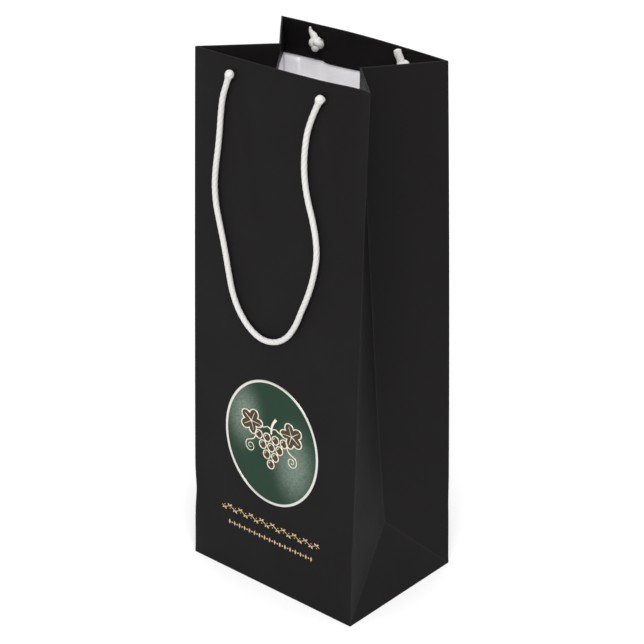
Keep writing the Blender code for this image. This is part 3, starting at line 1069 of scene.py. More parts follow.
@dataclass
class PaperSheet:
    """The bag's one sheet: six walls, mouth fold and hems, foot triangles and bottom flaps."""

    form: BagForm
    hole_radius: float = 2.0 * MM
    flap_reach: float = 61 * MM
    side_flap_reach: float = 40 * MM
    row_pitch: float = 3.0 * MM

    def build(self) -> bpy.types.Object:
        """Make the welded sheet with its holes cut, open inside and printed side out.

        Returns:
            The sheet, still without thickness.
        """
        self.columns = Columns(self.form, self.hole_radius)
        walls = self._walls()
        foot = walls.points[0]
        grids = [walls]
        for side in (Face.RIGHT_FRONT, Face.LEFT_BACK):
            triangle, base_row = self._foot_triangle(foot, side)
            grids += [triangle, self._side_flap(base_row)]
        grids += [self._broad_flap(foot, Face.FRONT), self._broad_flap(foot, Face.BACK)]
        obj = open_holes(mesh_from_grids("bag_paper", grids, weld=True))
        self._sharpen_foot_folds(obj)
        return obj

    def dress(self, obj: bpy.types.Object, face: bpy.types.Material, back: bpy.types.Material,
              edge: bpy.types.Material) -> bpy.types.Object:
        """Give the sheet its thickness and finishes, and let it stand for the frame's paper nodes.

        Args:
            obj: the sheet.
            face: finish of its printed face.
            back: finish of its back.
            edge: finish of its cut edge.

        Returns:
            The same object.
        """
        thicken(obj, self.form.paper, [face, back, edge])
        sides, ends = ("left", "right"), ("front", "back")
        nodes = [f"{end}_{part}" for end in ends for part in ("panel", "hem")]
        halves = [f"{side}_gusset_{end}" for side in sides for end in ends]
        nodes += [f"{half}{part}" for half in halves for part in ("", "_hem")]
        nodes += [f"{side}_foot_triangle" for side in sides]
        nodes += [f"bottom_flap_{word}" for word in sides + ends]
        return settle(obj, "bag", "matt_black_paper", *nodes)

    def _rows(self) -> tuple[Array, Array, Array, Array]:
        """The sheet's level grid lines, from the foot over the mouth to the hem's cut edge.

        Returns:
            Each row's height at the corners, its height at the middle folds, how far it lies inside the
            printed face, and its share of the hem's depth.
        """
        form = self.form
        radius = form.hem_inset / 2
        top = form.height - radius
        hole = form.height - HOLE_DROP
        ring = hole + self.hole_radius * HOLE_STEPS
        step = form.height - form.hem_depth + MM * np.array([-1.6, -0.8, 0.0])
        lower = np.linspace(0.0, step[0], int(step[0] / self.row_pitch), endpoint=False)
        lower = np.unique(np.concatenate([[0.0, 0.6 * MM, 1.6 * MM], lower]))
        middle = np.linspace(step[-1], ring[0], 5)[1:-1]
        upper = np.linspace(ring[-1], top, 4)[1:]
        up = np.concatenate([lower, step, middle, ring, upper])
        climb = up / top
        turn = np.linspace(0.0, np.pi, 8)[1:-1]
        down = np.concatenate([np.linspace(top, ring[-1], 3)[:-1], ring[::-1],
                               np.linspace(ring[0], form.height - form.hem_depth, 6)[1:]])
        over = top + radius * np.sin(turn)
        z_corner = np.concatenate([up, over, down])
        z_crease = np.concatenate([form.apex + climb * (top - form.apex), over, down])
        inset = np.concatenate([np.zeros(len(up)), radius * (1 - np.cos(turn)),
                                np.full(len(down), 2 * radius)])
        hem = np.concatenate([np.zeros(len(up) + len(turn)), (top - down) / (top - down[-1])])
        return z_corner, z_crease, inset, hem

    def _walls(self) -> Grid:
        """The six walls up to the mouth, the fold over it and the hems, as one closed band.

        Each point is its row's six fold points weighed by its column, moved out by the wall's relief.

        Returns:
            The band's grid, foot row first.
        """
        columns, form = self.columns, self.form
        z_corner, z_crease, inset, hem = self._rows()
        ring = form.folds(z_corner, z_crease, inset)
        rounded = np.einsum("cf,rfk->rck", np.array(columns.round_weights), ring)
        sharp = np.einsum("cf,rfk->rck", np.array(columns.sharp_weights), ring)
        ease = np.clip(z_corner / (6 * MM), 0.0, 1.0)[:, None, None]
        points = sharp + ease * (rounded - sharp)
        run = unit(np.roll(ring, -1, axis=1)[..., :2] - ring[..., :2])
        out = np.concatenate([run[..., 1:], -run[..., :1], np.zeros_like(run[..., :1])], axis=-1)
        for face in Face:
            held = columns.on_wall[face]
            share = np.broadcast_to(np.array(columns.share)[held], (len(z_corner), len(held)))
            z = points[:, held, 2]
            swell = form.relief(face, share, z)
            points[:, held] += swell[..., None] * out[:, face][:, None]
            points[:, held, 2] += form.rise(face, share, z)
        points[..., 2] -= hem[:, None] * self._hem_wave(points)
        fold = np.broadcast_to(np.array(columns.distance), points.shape[:2])
        mouth = np.abs(form.height - z_corner)[:, None]
        distance = np.minimum(fold, np.broadcast_to(mouth, fold.shape))
        distance = np.minimum(distance, z_corner[:, None])
        hole = np.zeros(points.shape[:2])
        near = np.flatnonzero(np.abs(z_corner - (form.height - HOLE_DROP)) < 1.01 * self.hole_radius)
        for rows in (near[:5], near[5:]):
            for held in columns.holes:
                round_hole(points, hole, rows, held, self.hole_radius)
        values = {"fold_distance": distance / MM, "foot": self._foot_flag(points), "hole": hole}
        return Grid(points, wrap_columns=True, values=values)

    @staticmethod
    def _foot_flag(points: Array) -> Array:
        """Mark a grid's first row, where the foot's folds run.

        Args:
            points: the grid's points.

        Returns:
            1 on the first row and 0 elsewhere.
        """
        flag = np.zeros(points.shape[:2])
        flag[0] = 1.0
        return flag

    @staticmethod
    def _hem_wave(points: Array) -> Array:
        """How much deeper the hem's cut edge runs: a slow wave, and at the back a slant and one small step.

        Args:
            points: the walls' points.

        Returns:
            The extra depth at each of them.
        """
        x, back = points[..., 0], points[..., 1] > 20 * MM
        wave = 0.3 * MM * np.sin(x / (13 * MM) + 3.0 * points[..., 1] / (40 * MM))
        step = 1.1 * MM * smooth((x + 33 * MM) / (2.5 * MM)) * (1 - smooth((x - 20 * MM) / (30 * MM)))
        return wave + back * (step - 0.5 * MM - 0.033 * np.minimum(x + 66 * MM, 66 * MM))

    def _foot_triangle(self, foot: Array, first: Face) -> tuple[Grid, Array]:
        """The triangle below a gusset's diagonal folds, ruled level between them.

        Args:
            foot: the walls' lowest row, which follows the diagonals.
            first: the first of the gusset's two walls.

        Returns:
            The triangle's grid and its lowest row.
        """
        columns = self.columns
        second = (first + 1) % 6
        start = [columns.at_fold[first][1], *columns.on_wall[first], columns.at_fold[second][1]]
        stop = [columns.at_fold[(second + 1) % 6][1], *columns.on_wall[second][::-1],
                columns.at_fold[second][1]]
        share = np.linspace(0.0, 1.0, 25)[None, :, None]
        points = foot[start][:, None] + share * (foot[stop] - foot[start])[:, None]
        rim = np.minimum(share[..., 0], 1 - share[..., 0])
        edge = np.linalg.norm(foot[stop] - foot[start], axis=1)[:, None] * rim * 0.7
        low = points[..., 2]
        flag = self._foot_flag(points)
        flag[:, [0, -1]] = 1.0
        values = {"fold_distance": np.minimum(edge, low) / MM, "foot": flag}
        return Grid(points, values=values), points[0]

    def _side_flap(self, base_row: Array) -> Grid:
        """Side bottom flap: the triangle's lowest row carried inward above the others, tapering.

        Args:
            base_row: the triangle's lowest row.

        Returns:
            The flap's grid.
        """
        inward = -np.sign(base_row[:, 0].mean())
        reach = np.array([0.0, 0.4, 1.2, 3.0, 8.0, 16.0, 24.0, 32.0, self.side_flap_reach / MM]) * MM
        half = float(np.abs(base_row[:, 1]).max())
        shrink = (half - reach - 0.4 * MM * smooth(reach / MM)) / half
        rise = 0.9 * MM * smooth(reach / (3 * MM))
        points = np.empty((len(reach), len(base_row), 3))
        points[..., 0] = base_row[:, 0] + inward * reach[:, None]
        points[..., 1] = base_row[:, 1] * np.where(reach > 0, shrink, 1.0)[:, None]
        points[..., 2] = rise[:, None]
        return self._flap_grid(points, reach)

    def _broad_flap(self, foot: Array, face: Face) -> Grid:
        """Front or back bottom flap: the wall's lowest row carried inward past the middle of the base.

        The back flap lies flat on the surface under the bag; the front one rises over its edge.

        Args:
            foot: the walls' lowest row.
            face: the wall.

        Returns:
            The flap's grid.
        """
        columns = self.columns
        held = [columns.at_fold[face][1], *columns.on_wall[face], columns.at_fold[(face + 1) % 6][1]]
        row = foot[held]
        inward = -np.sign(row[:, 1].mean())
        reach = np.concatenate([[0.0, 0.4, 1.0, 2.0], np.linspace(4.0, self.flap_reach / MM, 24)]) * MM
        narrow = 1 - 1.0 * MM / (self.form.width / 2) * smooth(reach / (2 * MM))
        over = smooth((reach - (self.form.foot_depth - self.flap_reach) + 9 * MM) / (8 * MM))
        rise = (0.45 * MM * over + 0.02 * MM) * (reach > 0) if face is Face.FRONT else 0.0 * reach
        points = np.empty((len(reach), len(row), 3))
        points[..., 0] = row[:, 0] * narrow[:, None]
        points[..., 1] = row[:, 1] + inward * reach[:, None]
        points[..., 2] = rise[:, None]
        return self._flap_grid(points, reach)

    def _flap_grid(self, points: Array, reach: Array) -> Grid:
        """Turn a flap's rows so that its printed side faces down.

        Args:
            points: the flap's points, from its fold inward.
            reach: each row's distance from the fold.

        Returns:
            The flap's grid.
        """
        flag = self._foot_flag(points)
        distance = np.broadcast_to(reach[:, None] / MM, points.shape[:2])
        return Grid(points[::-1], values={"fold_distance": distance[::-1], "foot": flag[::-1]})

    @staticmethod
    def _sharpen_foot_folds(obj: bpy.types.Object) -> None:
        """Mark the foot's diagonal and bottom folds sharp, so that each wall keeps its own even shade.

        Args:
            obj: the sheet, with its foot marks.
        """
        mesh = obj.data
        flag = np.empty(len(mesh.vertices), np.float32)
        mesh.attributes["foot"].data.foreach_get("value", flag)
        pairs = np.empty(len(mesh.edges) * 2, np.int32)
        mesh.edges.foreach_get("vertices", pairs)
        sharp = (flag[pairs.reshape(-1, 2)] > 0.5).all(axis=1)
        layer = mesh.attributes.get("sharp_edge") or mesh.attributes.new("sharp_edge", "BOOLEAN", "EDGE")
        layer.data.foreach_set("value", sharp)


@dataclass
class InnerPapers:
    """What lies inside the paper: the hems' stiffening cards, the glue tab and the base card."""

    form: BagForm
    card_width: float = 118 * MM
    card_depth: float = 20.5 * MM
    card: float = 0.45 * MM
    tab_width: float = 15 * MM
    hole_radius: float = 2.3 * MM

    def top_card(self, end: End) -> bpy.types.Object:
        """Stiffening card between the wall and its hem, following the wall's bow, with slots for the cord.

        Args:
            end: which broad wall.

        Returns:
            The card as an open sheet, outer face out.
        """
        ring = self.hole_radius * HOLE_STEPS
        half = self.card_width / 2
        middle = np.linspace(ring[-1] - HOLE_OFFSET, HOLE_OFFSET + ring[0], 27)[1:-1]
        side = np.linspace(HOLE_OFFSET + ring[-1], half, 10)[1:]
        x = np.concatenate([-side[::-1], ring - HOLE_OFFSET, middle, ring + HOLE_OFFSET, side])
        top = self.form.height - 1.0 * MM
        hole = self.form.height - HOLE_DROP
        z = np.concatenate([np.linspace(top - self.card_depth, hole + ring[0], 5)[:-1], hole + ring,
                            np.linspace(hole + ring[-1], top, 5)[1:]])
        across, height = np.meshgrid(x * -end.value + HOLE_SHIFT[end.face], z)
        points = self.form.on_wall(end, across, height, -0.3 * MM)
        flag = np.zeros(points.shape[:2])
        for start in (len(side), len(side) + 5 + len(middle)):
            round_hole(points, flag, 4 + np.arange(5), start + np.arange(5), self.hole_radius)
        grid = Grid(points, values={"hole": flag})
        return open_holes(mesh_from_grids(f"{end.word}_stiffening_card", [grid]))

    def glue_tab(self) -> bpy.types.Object:
        """Glue tab of the lengthwise seam, inside the back wall at its left fold, its lower end slanted.

        Returns:
            The tab as an open sheet.
        """
        share = 1 - np.array([self.tab_width, 12.0 * MM, 9.0 * MM, 6.0 * MM, 3.0 * MM,
                              1.4 * MM]) / self.form.width
        z = np.linspace(4 * MM, self.form.height - self.form.hem_depth - 0.6 * MM, 100)
        along, height = np.meshgrid(share, z)
        slope = 6 * MM * (along - along.min()) / (along.max() - along.min())
        height = height + slope * (1 - z / z.max())[:, None] * -0.5
        points = self.form.on_face(Face.BACK, along, height, -0.22 * MM)
        return mesh_from_grids("seam_glue_tab_paper", [Grid(points)])

    def base_card(self) -> bpy.types.Object:
        """Loose card on the foot: a rectangle with small round corners, its cut edges crushed slightly round.

        The outline is carried through the card's section: out across the top, round the edge and back
        underneath.

        Returns:
            The card as a closed solid.
        """
        low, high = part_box("base_card")
        half = np.array([(high.x - low.x) / 2, (high.y - low.y) / 2])
        radius, crush = 1.6 * MM, 0.25 * MM
        turn = np.linspace(0.0, 2 * np.pi, 96, endpoint=False)
        arc = np.stack([np.cos(turn), np.sin(turn)], axis=1)
        outline = np.sign(arc) * (half - radius) + radius * arc
        half_inset = np.array([1e3, 30.0, 12.0, 3.0, 1.0, 0.3, 0.0])
        inset = np.concatenate([half_inset, half_inset[::-1]]) * crush
        level = np.array([1, 1, 1, 1, 1, 1, 0.75, 0.25, 0, 0, 0, 0, 0, 0], float)
        scale = np.clip(1 - inset[:, None] / np.abs(half), 0.0, 1.0)
        scale[[0, -1]] = 0.0
        points = np.empty((len(inset), len(turn), 3))
        points[..., :2] = outline[None] * scale[:, None]
        points[..., 2] = (low.z + level * (high.z - low.z))[:, None]
        return mesh_from_grids("base_card_board", [Grid(points[::-1], wrap_columns=True)], weld=True)

    def build(self, board: bpy.types.Material, bare: bpy.types.Material) -> None:
        """Make and dress all the inner pieces.

        Args:
            board: finish of the cards.
            bare: finish of the glue tab.
        """
        for end in End:
            card = thicken(self.top_card(end), self.card, [board])
            settle(card, "bag", "grey_board", f"{end.word}_top_card")
        tab = thicken(self.glue_tab(), self.form.paper, [bare])
        settle(tab, "bag", "white_paper_back", "seam_glue_tab")
        card = self.base_card()
        card.data.materials.append(board)
        settle(card, "bag", "grey_board", "base_card")


# ---- cords ---------------------------------------------------------------------------------------

@dataclass(frozen=True)
class TwistedCord:
    """A soft cord of three strands laid together."""

    diameter: float = 3.5 * MM
    strands: int = 3
    lay: float = 12.0 * MM             # length in which a strand goes once round
    groove: float = 0.06               # depth of the furrow between strands, as a share of the radius
    around: int = 30

    def tube(self, path: Array, radius: Array, phase: float = 0.0) -> Grid:
        """A closed tube of the cord's own section carried along a path.

        At angle a and distance s the radius is R (1 - groove q^3), where q runs from 0 on a strand's crest to
        1 in the furrow, and the strands turn once in each lay. The frame is carried along without twist.

        Args:
            path: stations along the middle of the cord.
            radius: the cord's radius at each station.
            phase: turn of the strands at the first station.

        Returns:
            The tube's grid, its ends drawn in to a point.
        """
        tangent = unit(np.gradient(path, axis=0))
        side = self._carried_side(tangent)
        other = np.cross(tangent, side)
        walked = np.concatenate([[0.0], np.cumsum(np.linalg.norm(np.diff(path, axis=0), axis=1))])
        angle = np.linspace(0.0, 2 * np.pi, self.around, endpoint=False)
        strand = self.strands * (angle[None] - 2 * np.pi * walked[:, None] / self.lay + phase)
        q = np.abs((strand / (2 * np.pi)) % 1.0 * 2 - 1)
        r = radius[:, None] * (1 - self.groove * q**3)
        points = path[:, None] + r[..., None] * (np.cos(angle)[None, :, None] * side[:, None]
                                                 + np.sin(angle)[None, :, None] * other[:, None])
        caps = [np.broadcast_to(path[i], (1, self.around, 3)) for i in (0, -1)]
        points = np.concatenate([caps[0], points, caps[1]])
        turns = strand / (2 * np.pi * self.strands)
        uv = np.stack([turns, np.broadcast_to(walked[:, None] / (10 * MM), turns.shape)], axis=-1)
        uv = np.pad(uv, ((1, 1), (0, 0), (0, 0)), mode="edge")
        values = {"groove": np.pad(q, ((1, 1), (0, 0)), mode="edge")}
        return Grid(points, wrap_columns=True, uv=uv, values=values)

    @staticmethod
    def _carried_side(tangent: Array) -> Array:
        """A side vector for each station, each the last one freed of its part along the new tangent.

        Args:
            tangent: the path's direction at each station.

        Returns:
            The side vectors.
        """
        side = np.empty_like(tangent)
        last = np.array([0.0, 1.0, 0.0]) if abs(tangent[0, 1]) < 0.9 else np.array([1.0, 0.0, 0.0])
        for i, direction in enumerate(tangent):
            last = last - direction * (last @ direction)
            last = last / math.sqrt(last @ last)
            side[i] = last
        return side


@dataclass(frozen=True)
class WallFrame:
    """A broad wall's own directions at its handle: across, up the wall and out of it."""

    end: End
    axis_point: Array
    lean: float

    @classmethod
    def from_frame(cls, end: End, form: BagForm) -> "WallFrame":
        """Read the handle's swing axis from the frame's joints.

        Args:
            end: the wall.
            form: the bag's form, for the wall's lean.

        Returns:
            The wall's directions.
        """
        joint = next(j for j in frame["joints"] if j["child"] == f"{end.word}_handle")
        lean = math.atan2((form.foot_depth - form.mouth_depth) / 2, form.height)
        return cls(end, np.array(joint["pos_m"]), lean)

    @property
    def up(self) -> Array:
        """Up the wall."""
        return np.array([0.0, -self.end.value * math.sin(self.lean), math.cos(self.lean)])

    @property
    def out(self) -> Array:
        """Out of the bag, square to the wall."""
        return np.array([0.0, self.end.value * math.cos(self.lean), math.sin(self.lean)])

    def point(self, local: Array) -> Array:
        """World points from (across, up, out) measured at the swing axis."""
        return (self.axis_point + local[..., :1] * np.array([1.0, 0.0, 0.0]) + local[..., 1:2] * self.up
                + local[..., 2:3] * self.out)


@dataclass
class CordHandle:
    """One carrying loop: the hanging cord on its swing axis, and its two tied ends in the wall."""

    end: End
    form: BagForm
    cord: TwistedCord
    route: tuple
    standoff: float = -1.05 * MM       # hanging cord nearer the paper than the swing axis
    settle_drop: float = 18 * MM
    axis_out: float = 3.2 * MM         # swing axis off the regular wall
    ball: float = 2.7 * MM             # the cord swells to this radius where it turns out of its hole
    knot_cord: float = 2.3 * MM
    knot_scale: float = 0.9 * MM
    knot_turn: float = -20.0           # degrees the overhand knot is turned about its cord
    shift: float = 0.0                 # how far its two holes lie off the bag's middle together

    def __post_init__(self) -> None:
        """Find the wall's directions."""
        self.wall = WallFrame.from_frame(self.end, self.form)

    def loop_path(self) -> Array:
        """Middle of the hanging cord, from ball to ball, lying on the wall's own swell.

        The route's points are joined by the smooth curve; the cord comes down from the axis on the paper
        within the settling drop, and never nearer to the wall as it really stands than its own radius.

        Returns:
            Stations along the cord.
        """
        ends = np.array([(-HOLE_OFFSET, 0.0), (HOLE_OFFSET, 0.0)])
        points = np.vstack([ends[:1], np.array(self.route), ends[1:]]) + np.array([self.shift, 0.0])
        flat = smooth_curve(points, 0.42 * MM)
        height = self.wall.axis_point[2] + flat[:, 1] * math.cos(self.wall.lean)
        least = self.form.stand_out(self.end, flat[:, 0], height)
        least = least + self.cord.diameter / 2 + 0.1 * MM - self.axis_out
        regular = self.standoff * smooth(-flat[:, 1] / self.settle_drop)
        local = np.column_stack([flat, np.maximum(regular, least * smooth(-flat[:, 1] / (6 * MM)))])
        return self.wall.point(local)

    def build_loop(self, yarn: bpy.types.Material) -> bpy.types.Object:
        """The hanging loop: thick where it comes out of each ball, then its own even diameter.

        Args:
            yarn: its finish.

        Returns:
            The loop, riding on its handle.
        """
        path = self.loop_path()
        walked = np.concatenate([[0.0], np.cumsum(np.linalg.norm(np.diff(path, axis=0), axis=1))])
        total = float(walked[-1])
        near = np.minimum(walked, total - walked)
        radius = self.cord.diameter / 2 + 0.6 * MM * np.exp(-((near / (2.9 * MM)) ** 2))
        name = f"{self.end.word}_handle_loop"
        obj = mesh_from_grids(name, [self.cord.tube(path, radius)], weld=True)
        obj.data.materials.append(yarn)
        settle(obj, f"{self.end.word}_handle", "white_twisted_cord", f"{self.end.word}_handle_cord")
        LOG.info("%s: %.0f mm of cord", name, total / MM)
        return obj

    def build_turn(self, side: float, heading: Array, yarn: bpy.types.Material) -> bpy.types.Object:
        """The round turn of cord outside a hole: a ball whose strands run on into the hanging loop.

        Args:
            side: -1 for the left hole, 1 for the right.
            heading: direction in which the loop leaves the ball.
            yarn: its finish.

        Returns:
            The ball, riding on the bag.
        """
        middle = self.wall.point(np.array([self.shift + side * HOLE_OFFSET, 0.0, 0.0]))
        polar = np.linspace(0.0, np.pi, 26)
        reach = self.ball * np.array([1.0, 1.0, 1.07])
        stations = middle + heading * (reach[2] * -np.cos(polar))[:, None]
        radius = reach[0] * np.sin(polar) + 1e-6
        grid = self.cord.tube(stations, radius, phase=0.7 * side)
        name = f"{self.end.word}_{'left' if side < 0 else 'right'}_cord_turn"
        obj = mesh_from_grids(name, [grid], weld=True)
        obj.data.materials.append(yarn)
        return settle(obj, "bag", "white_twisted_cord")

    def build_knot(self, side: float, tail: Tail, yarn: bpy.types.Material) -> bpy.types.Object:
        """The tied end: through the hole, round an overhand knot against the hem, and out in a cut tail.

        The knot follows (sin t + 2 sin 2t, cos t - 2 cos 2t) across the wall, turned by a set angle, and
        1.3 sin 3t through it, opened between its first and last turn.

        Args:
            side: -1 for the left hole, 1 for the right.
            tail: how the cut end lies.
            yarn: its finish.

        Returns:
            The knot, riding on the bag and replacing the frame's.
        """
        t = np.radians(np.linspace(274, -34, 40))
        across, up = np.sin(t) + 2 * np.sin(2 * t), np.cos(t) - 2 * np.cos(2 * t)
        turn = math.radians(self.knot_turn)
        ring = self.knot_scale * np.column_stack([across * math.cos(turn) - up * math.sin(turn),
                                                  across * math.sin(turn) + up * math.cos(turn),
                                                  1.3 * np.sin(3 * t)])
        ring = ring + np.array([0.0, 0.7 * MM, -(self.axis_out + self.form.hem_inset + 3.3 * MM)])
        lead = np.array([(0.0, 0.0, 0.0), (0.0, 0.0, -2.6), (0.0, 0.0, -4.4), (-0.9, 0.6, -5.3)]) * MM
        local = np.vstack([lead, ring, ring[-1] + np.array(tail.value) * MM])
        path = smooth_curve(local, 0.35 * MM)
        walked = np.concatenate([[0.0], np.cumsum(np.linalg.norm(np.diff(path, axis=0), axis=1))])
        left = walked[-1] - walked
        drawn_out = 0.26 + 0.74 * smooth(left / (7.5 * MM)) ** 0.8
        tip = smooth(left / (0.9 * MM) + 0.25) if tail is Tail.BLUNT else drawn_out
        swell = 0.76 + 0.24 * smooth((walked - 3 * MM) / (3 * MM))
        radius = self.knot_cord * np.clip(tip, 0.05, 1.0) * swell
        hole = self.shift + side * HOLE_OFFSET
        stand = self.form.stand_out(self.end, np.array([hole]), self.wall.axis_point[2:])
        path = path + np.array([hole, 0.0, 0.0])
        path[:, 2] += float(stand[0]) * smooth((-path[:, 2] - 1.0 * MM) / (3 * MM))
        word = f"{self.end.word}_{'left' if side < 0 else 'right'}_cord_knot"
        soft = TwistedCord(groove=0.05)
        obj = mesh_from_grids(f"{word}_tied", [soft.tube(self.wall.point(path), radius)], weld=True)
        obj.data.materials.append(yarn)
        return settle(obj, "bag", "white_twisted_cord", word)

    def build(self, yarn: bpy.types.Material) -> None:
        """Make the loop, the two turns and the two knots.

        Args:
            yarn: the cord's finish.
        """
        self.build_loop(yarn)
        path = self.loop_path()
        tails = (Tail.DOWN, Tail.DOWN) if self.end is End.FRONT else (Tail.DRAWN_OUT, Tail.BLUNT)
        for side, tail, ends in ((-1.0, tails[0], (0, 8)), (1.0, tails[1], (-1, -9))):
            heading = unit(path[ends[1]] - path[ends[0]])
            self.build_turn(side, heading, yarn)
            self.build_knot(side, tail, yarn)


# ---- print on the front --------------------------------------------------------------------------

@dataclass
class FrontPrint:
    """Foil and ink on the front wall: a round badge with a vine motif, and two rows of ornament under it."""

    form: BagForm
    middle_x: float = -0.9 * MM
    middle_z: float = 101.8 * MM
    radii: tuple[float, float] = (38.3 * MM, 41.7 * MM)
    ring_width: float = 1.9 * MM
    motif_scale: float = 1.24
    scale: float = 1.0                 # of everything that is placed off the middle
    upper_row: tuple[float, float] = (44.5 * MM, 41.2 * MM)     # height and half length
    lower_row: tuple[float, float] = (34.3 * MM, 34.6 * MM)

    def place(self, plan: Array, lift: float | Array) -> Array:
        """Points on the front wall from badge coordinates.

        Args:
            plan: places (across, up) off the badge's middle.
            lift: distance off the paper.

        Returns:
            Points, of the same shape x 3.
        """
        x, z = self.scale * plan[..., 0] + self.middle_x, self.scale * plan[..., 1] + self.middle_z
        return self.form.on_wall(End.FRONT, x, z, lift)

    def disc(self) -> Grid:
        """The green disc: rings of points from its middle to under the foil ring.

        Returns:
            The disc's grid.
        """
        r = np.linspace(0.0, 0.99, 22)[::-1, None]
        a = np.linspace(0.0, 2 * np.pi, 128, endpoint=False)[None]
        plan = np.stack([self.radii[0] * r * np.cos(a), self.radii[1] * r * np.sin(a)], axis=-1)
        return Grid(self.place(plan, 0.06 * MM), wrap_columns=True)

    def ring(self) -> Grid:
        """The foil ring, a little taller than wide; its height is a parabola across the band.

        Returns:
            The ring's grid.
        """
        q = np.linspace(1.0, -1.0, 9)[:, None]
        a = np.linspace(0.0, 2 * np.pi, 192, endpoint=False)[None]
        back = (q - 1) * self.ring_width / 2
        plan = np.stack([(self.radii[0] + back) * np.cos(a), (self.radii[1] + back) * np.sin(a)], axis=-1)
        return Grid(self.place(plan, 0.1 * MM + 0.28 * MM * (1 - q**2) + 0.0 * a), wrap_columns=True)

    def ribbon(self, path: Array, half_width: Array | float, crown: float = 0.2 * MM,
               closed: bool = False) -> Grid:
        """A foil line along a path: crowned across, its width given at each point.

        Args:
            path: points (across, up) off the badge's middle.
            half_width: half the line's width at each point.
            crown: how much the middle stands above the edges.
            closed: whether the line runs back into its start.

        Returns:
            The line's grid on the front wall.
        """
        if closed:
            ahead = np.roll(path, -1, axis=0) - np.roll(path, 1, axis=0)
        else:
            ahead = np.gradient(path, axis=0)
        ahead = unit(ahead)
        aside = np.column_stack([-ahead[:, 1], ahead[:, 0]])
        q = np.linspace(1.0, -1.0, 5)[None, :, None]
        reach = np.broadcast_to(half_width, len(path))[:, None, None]
        plan = path[:, None] + q * reach * aside[:, None]
        lift = 0.09 * MM + crown * (1 - q[..., 0] ** 2) * np.ones((len(path), 1))
        return Grid(self.place(plan, lift), wrap_rows=closed)

    def blade(self, start: Array, end: Array, width: float, lift: float = 0.1 * MM) -> Grid:
        """A filled almond between two points: half width is sin(pi u) of its widest, u along its length.

        Args:
            start: where it begins, off the badge's middle.
            end: where it ends.
            width: its widest.
            lift: distance of its rim off the paper.

        Returns:
            The almond's grid.
        """
        u = np.linspace(0.0, 1.0, 11)[:, None, None]
        q = np.linspace(1.0, -1.0, 5)[None, :, None]
        run = end - start
        aside = unit(np.array([-run[1], run[0]]))
        plan = start + u * run + q * width / 2 * np.sin(np.pi * np.clip(u, 0.02, 0.98)) * aside
        crown = 0.12 * MM * (1 - q[..., 0] ** 2) * np.sin(np.pi * u[..., 0])
        return Grid(self.place(plan, lift + crown))

    def dot(self, centre: Array, radius: float, lift: float = 0.08 * MM, crown: float = 0.12 * MM) -> Grid:
        """A small filled round, domed.

        Args:
            centre: its centre, off the badge's middle.
            radius: its radius.
            lift: distance of its rim off the paper.
            crown: how much its middle stands above the rim.

        Returns:
            The round's grid.
        """
        r = np.linspace(1.0, 0.0, 5)[:, None]
        a = np.linspace(0.0, 2 * np.pi, 20, endpoint=False)[None]
        plan = centre + radius * np.stack([r * np.cos(a), r * np.sin(a)], axis=-1)
        return Grid(self.place(plan, lift + crown * (1 - r**2) + 0.0 * a), wrap_columns=True)

    def berries(self) -> list[Array]:
        """Rows of four, three, two and one berries, packed as round fruit pack.

        Returns:
            Their centres, off the badge's middle.
        """
        pitch, fall = 5.5 * MM, 4.7 * MM
        return [np.array([(i - (4 - row - 1) / 2) * pitch, 2.6 * MM - row * fall])
                for row in range(4) for i in range(4 - row)]

    def leaf_outline(self, side: float) -> Array:
        """A vine leaf: five pointed lobes, radius R (0.60 + 0.40 |cos(2.5 a)|^0.8), notched at its stalk.

        Args:
            side: -1 for the left leaf, 1 for the right.

        Returns:
            Its outline, off the badge's middle.
        """
        a = np.linspace(0.0, 2 * np.pi, 120, endpoint=False)
        lobes = 0.60 + 0.40 * np.abs(np.cos(2.5 * a)) ** 0.8
        r = 7.6 * MM * lobes * (1 - 0.22 * hump(a, np.pi, 0.5))
        turn = math.radians(38)
        x, y = r * np.cos(a + turn), r * np.sin(a + turn) * 0.92
        return np.column_stack([side * (x + 13.2 * MM), y + 8.2 * MM])

    def vine(self) -> tuple[list[Grid], list[Grid]]:
        """The motif: a bunch of ten berries under its stalk, two leaves and two tendrils.

        Returns:
            Foil line work, and the ink laid under it.
        """
        foil, ink = [], []
        turn = np.linspace(0.0, 2 * np.pi, 28, endpoint=False)
        circle = np.stack([np.cos(turn), np.sin(turn)], axis=1)
        for centre in self.berries():
            foil.append(self.ribbon(centre + 2.28 * MM * circle, 0.36 * MM, closed=True))
            ink.append(self.dot(centre, 2.1 * MM, 0.075 * MM, 0.0))
            glint = np.linspace(math.radians(105), math.radians(175), 8)
            arc = centre + 1.25 * MM * np.stack([np.cos(glint), np.sin(glint)], axis=1)
            foil.append(self.ribbon(arc, 0.2 * MM, 0.08 * MM))
        for side in (-1.0, 1.0):
            leaf = self.leaf_outline(side)
            foil.append(self.ribbon(leaf if side > 0 else leaf[::-1], 0.38 * MM, closed=True))
            heart = leaf.mean(axis=0)
            shares = np.linspace(0.0, 0.93, 7)[::-1, None, None]
            fill = heart + shares * (leaf if side > 0 else leaf[::-1])[None] - shares * heart
            ink.append(Grid(self.place(fill, 0.075 * MM), wrap_columns=True))
            for tip in (24, 48, 72, 0, 96):
                vein = heart + (leaf[tip] - heart) * np.linspace(0.0, 0.78, 7)[:, None]
                foil.append(self.ribbon(vein, np.linspace(0.24, 0.12, 7) * MM, 0.08 * MM))
            bow = np.array([(0.3 * side, 7.6), (2.6 * side, 8.6), (5.2 * side, 7.4), (7.4 * side, 7.6)]) * MM
            foil.append(self.ribbon(smooth_curve(bow, 0.5 * MM), 0.34 * MM))
            wind = np.linspace(0.0, 3.4 * np.pi, 60)
            curl = (3.6 - 0.92 * wind / np.pi) * MM
            spiral = np.column_stack([side * (13.8 * MM + curl * np.sin(wind)),
                                      -5.6 * MM + curl * np.cos(wind)])
            lead = np.array([(side * 10.4, 1.2), (side * 11.6, -0.9)]) * MM
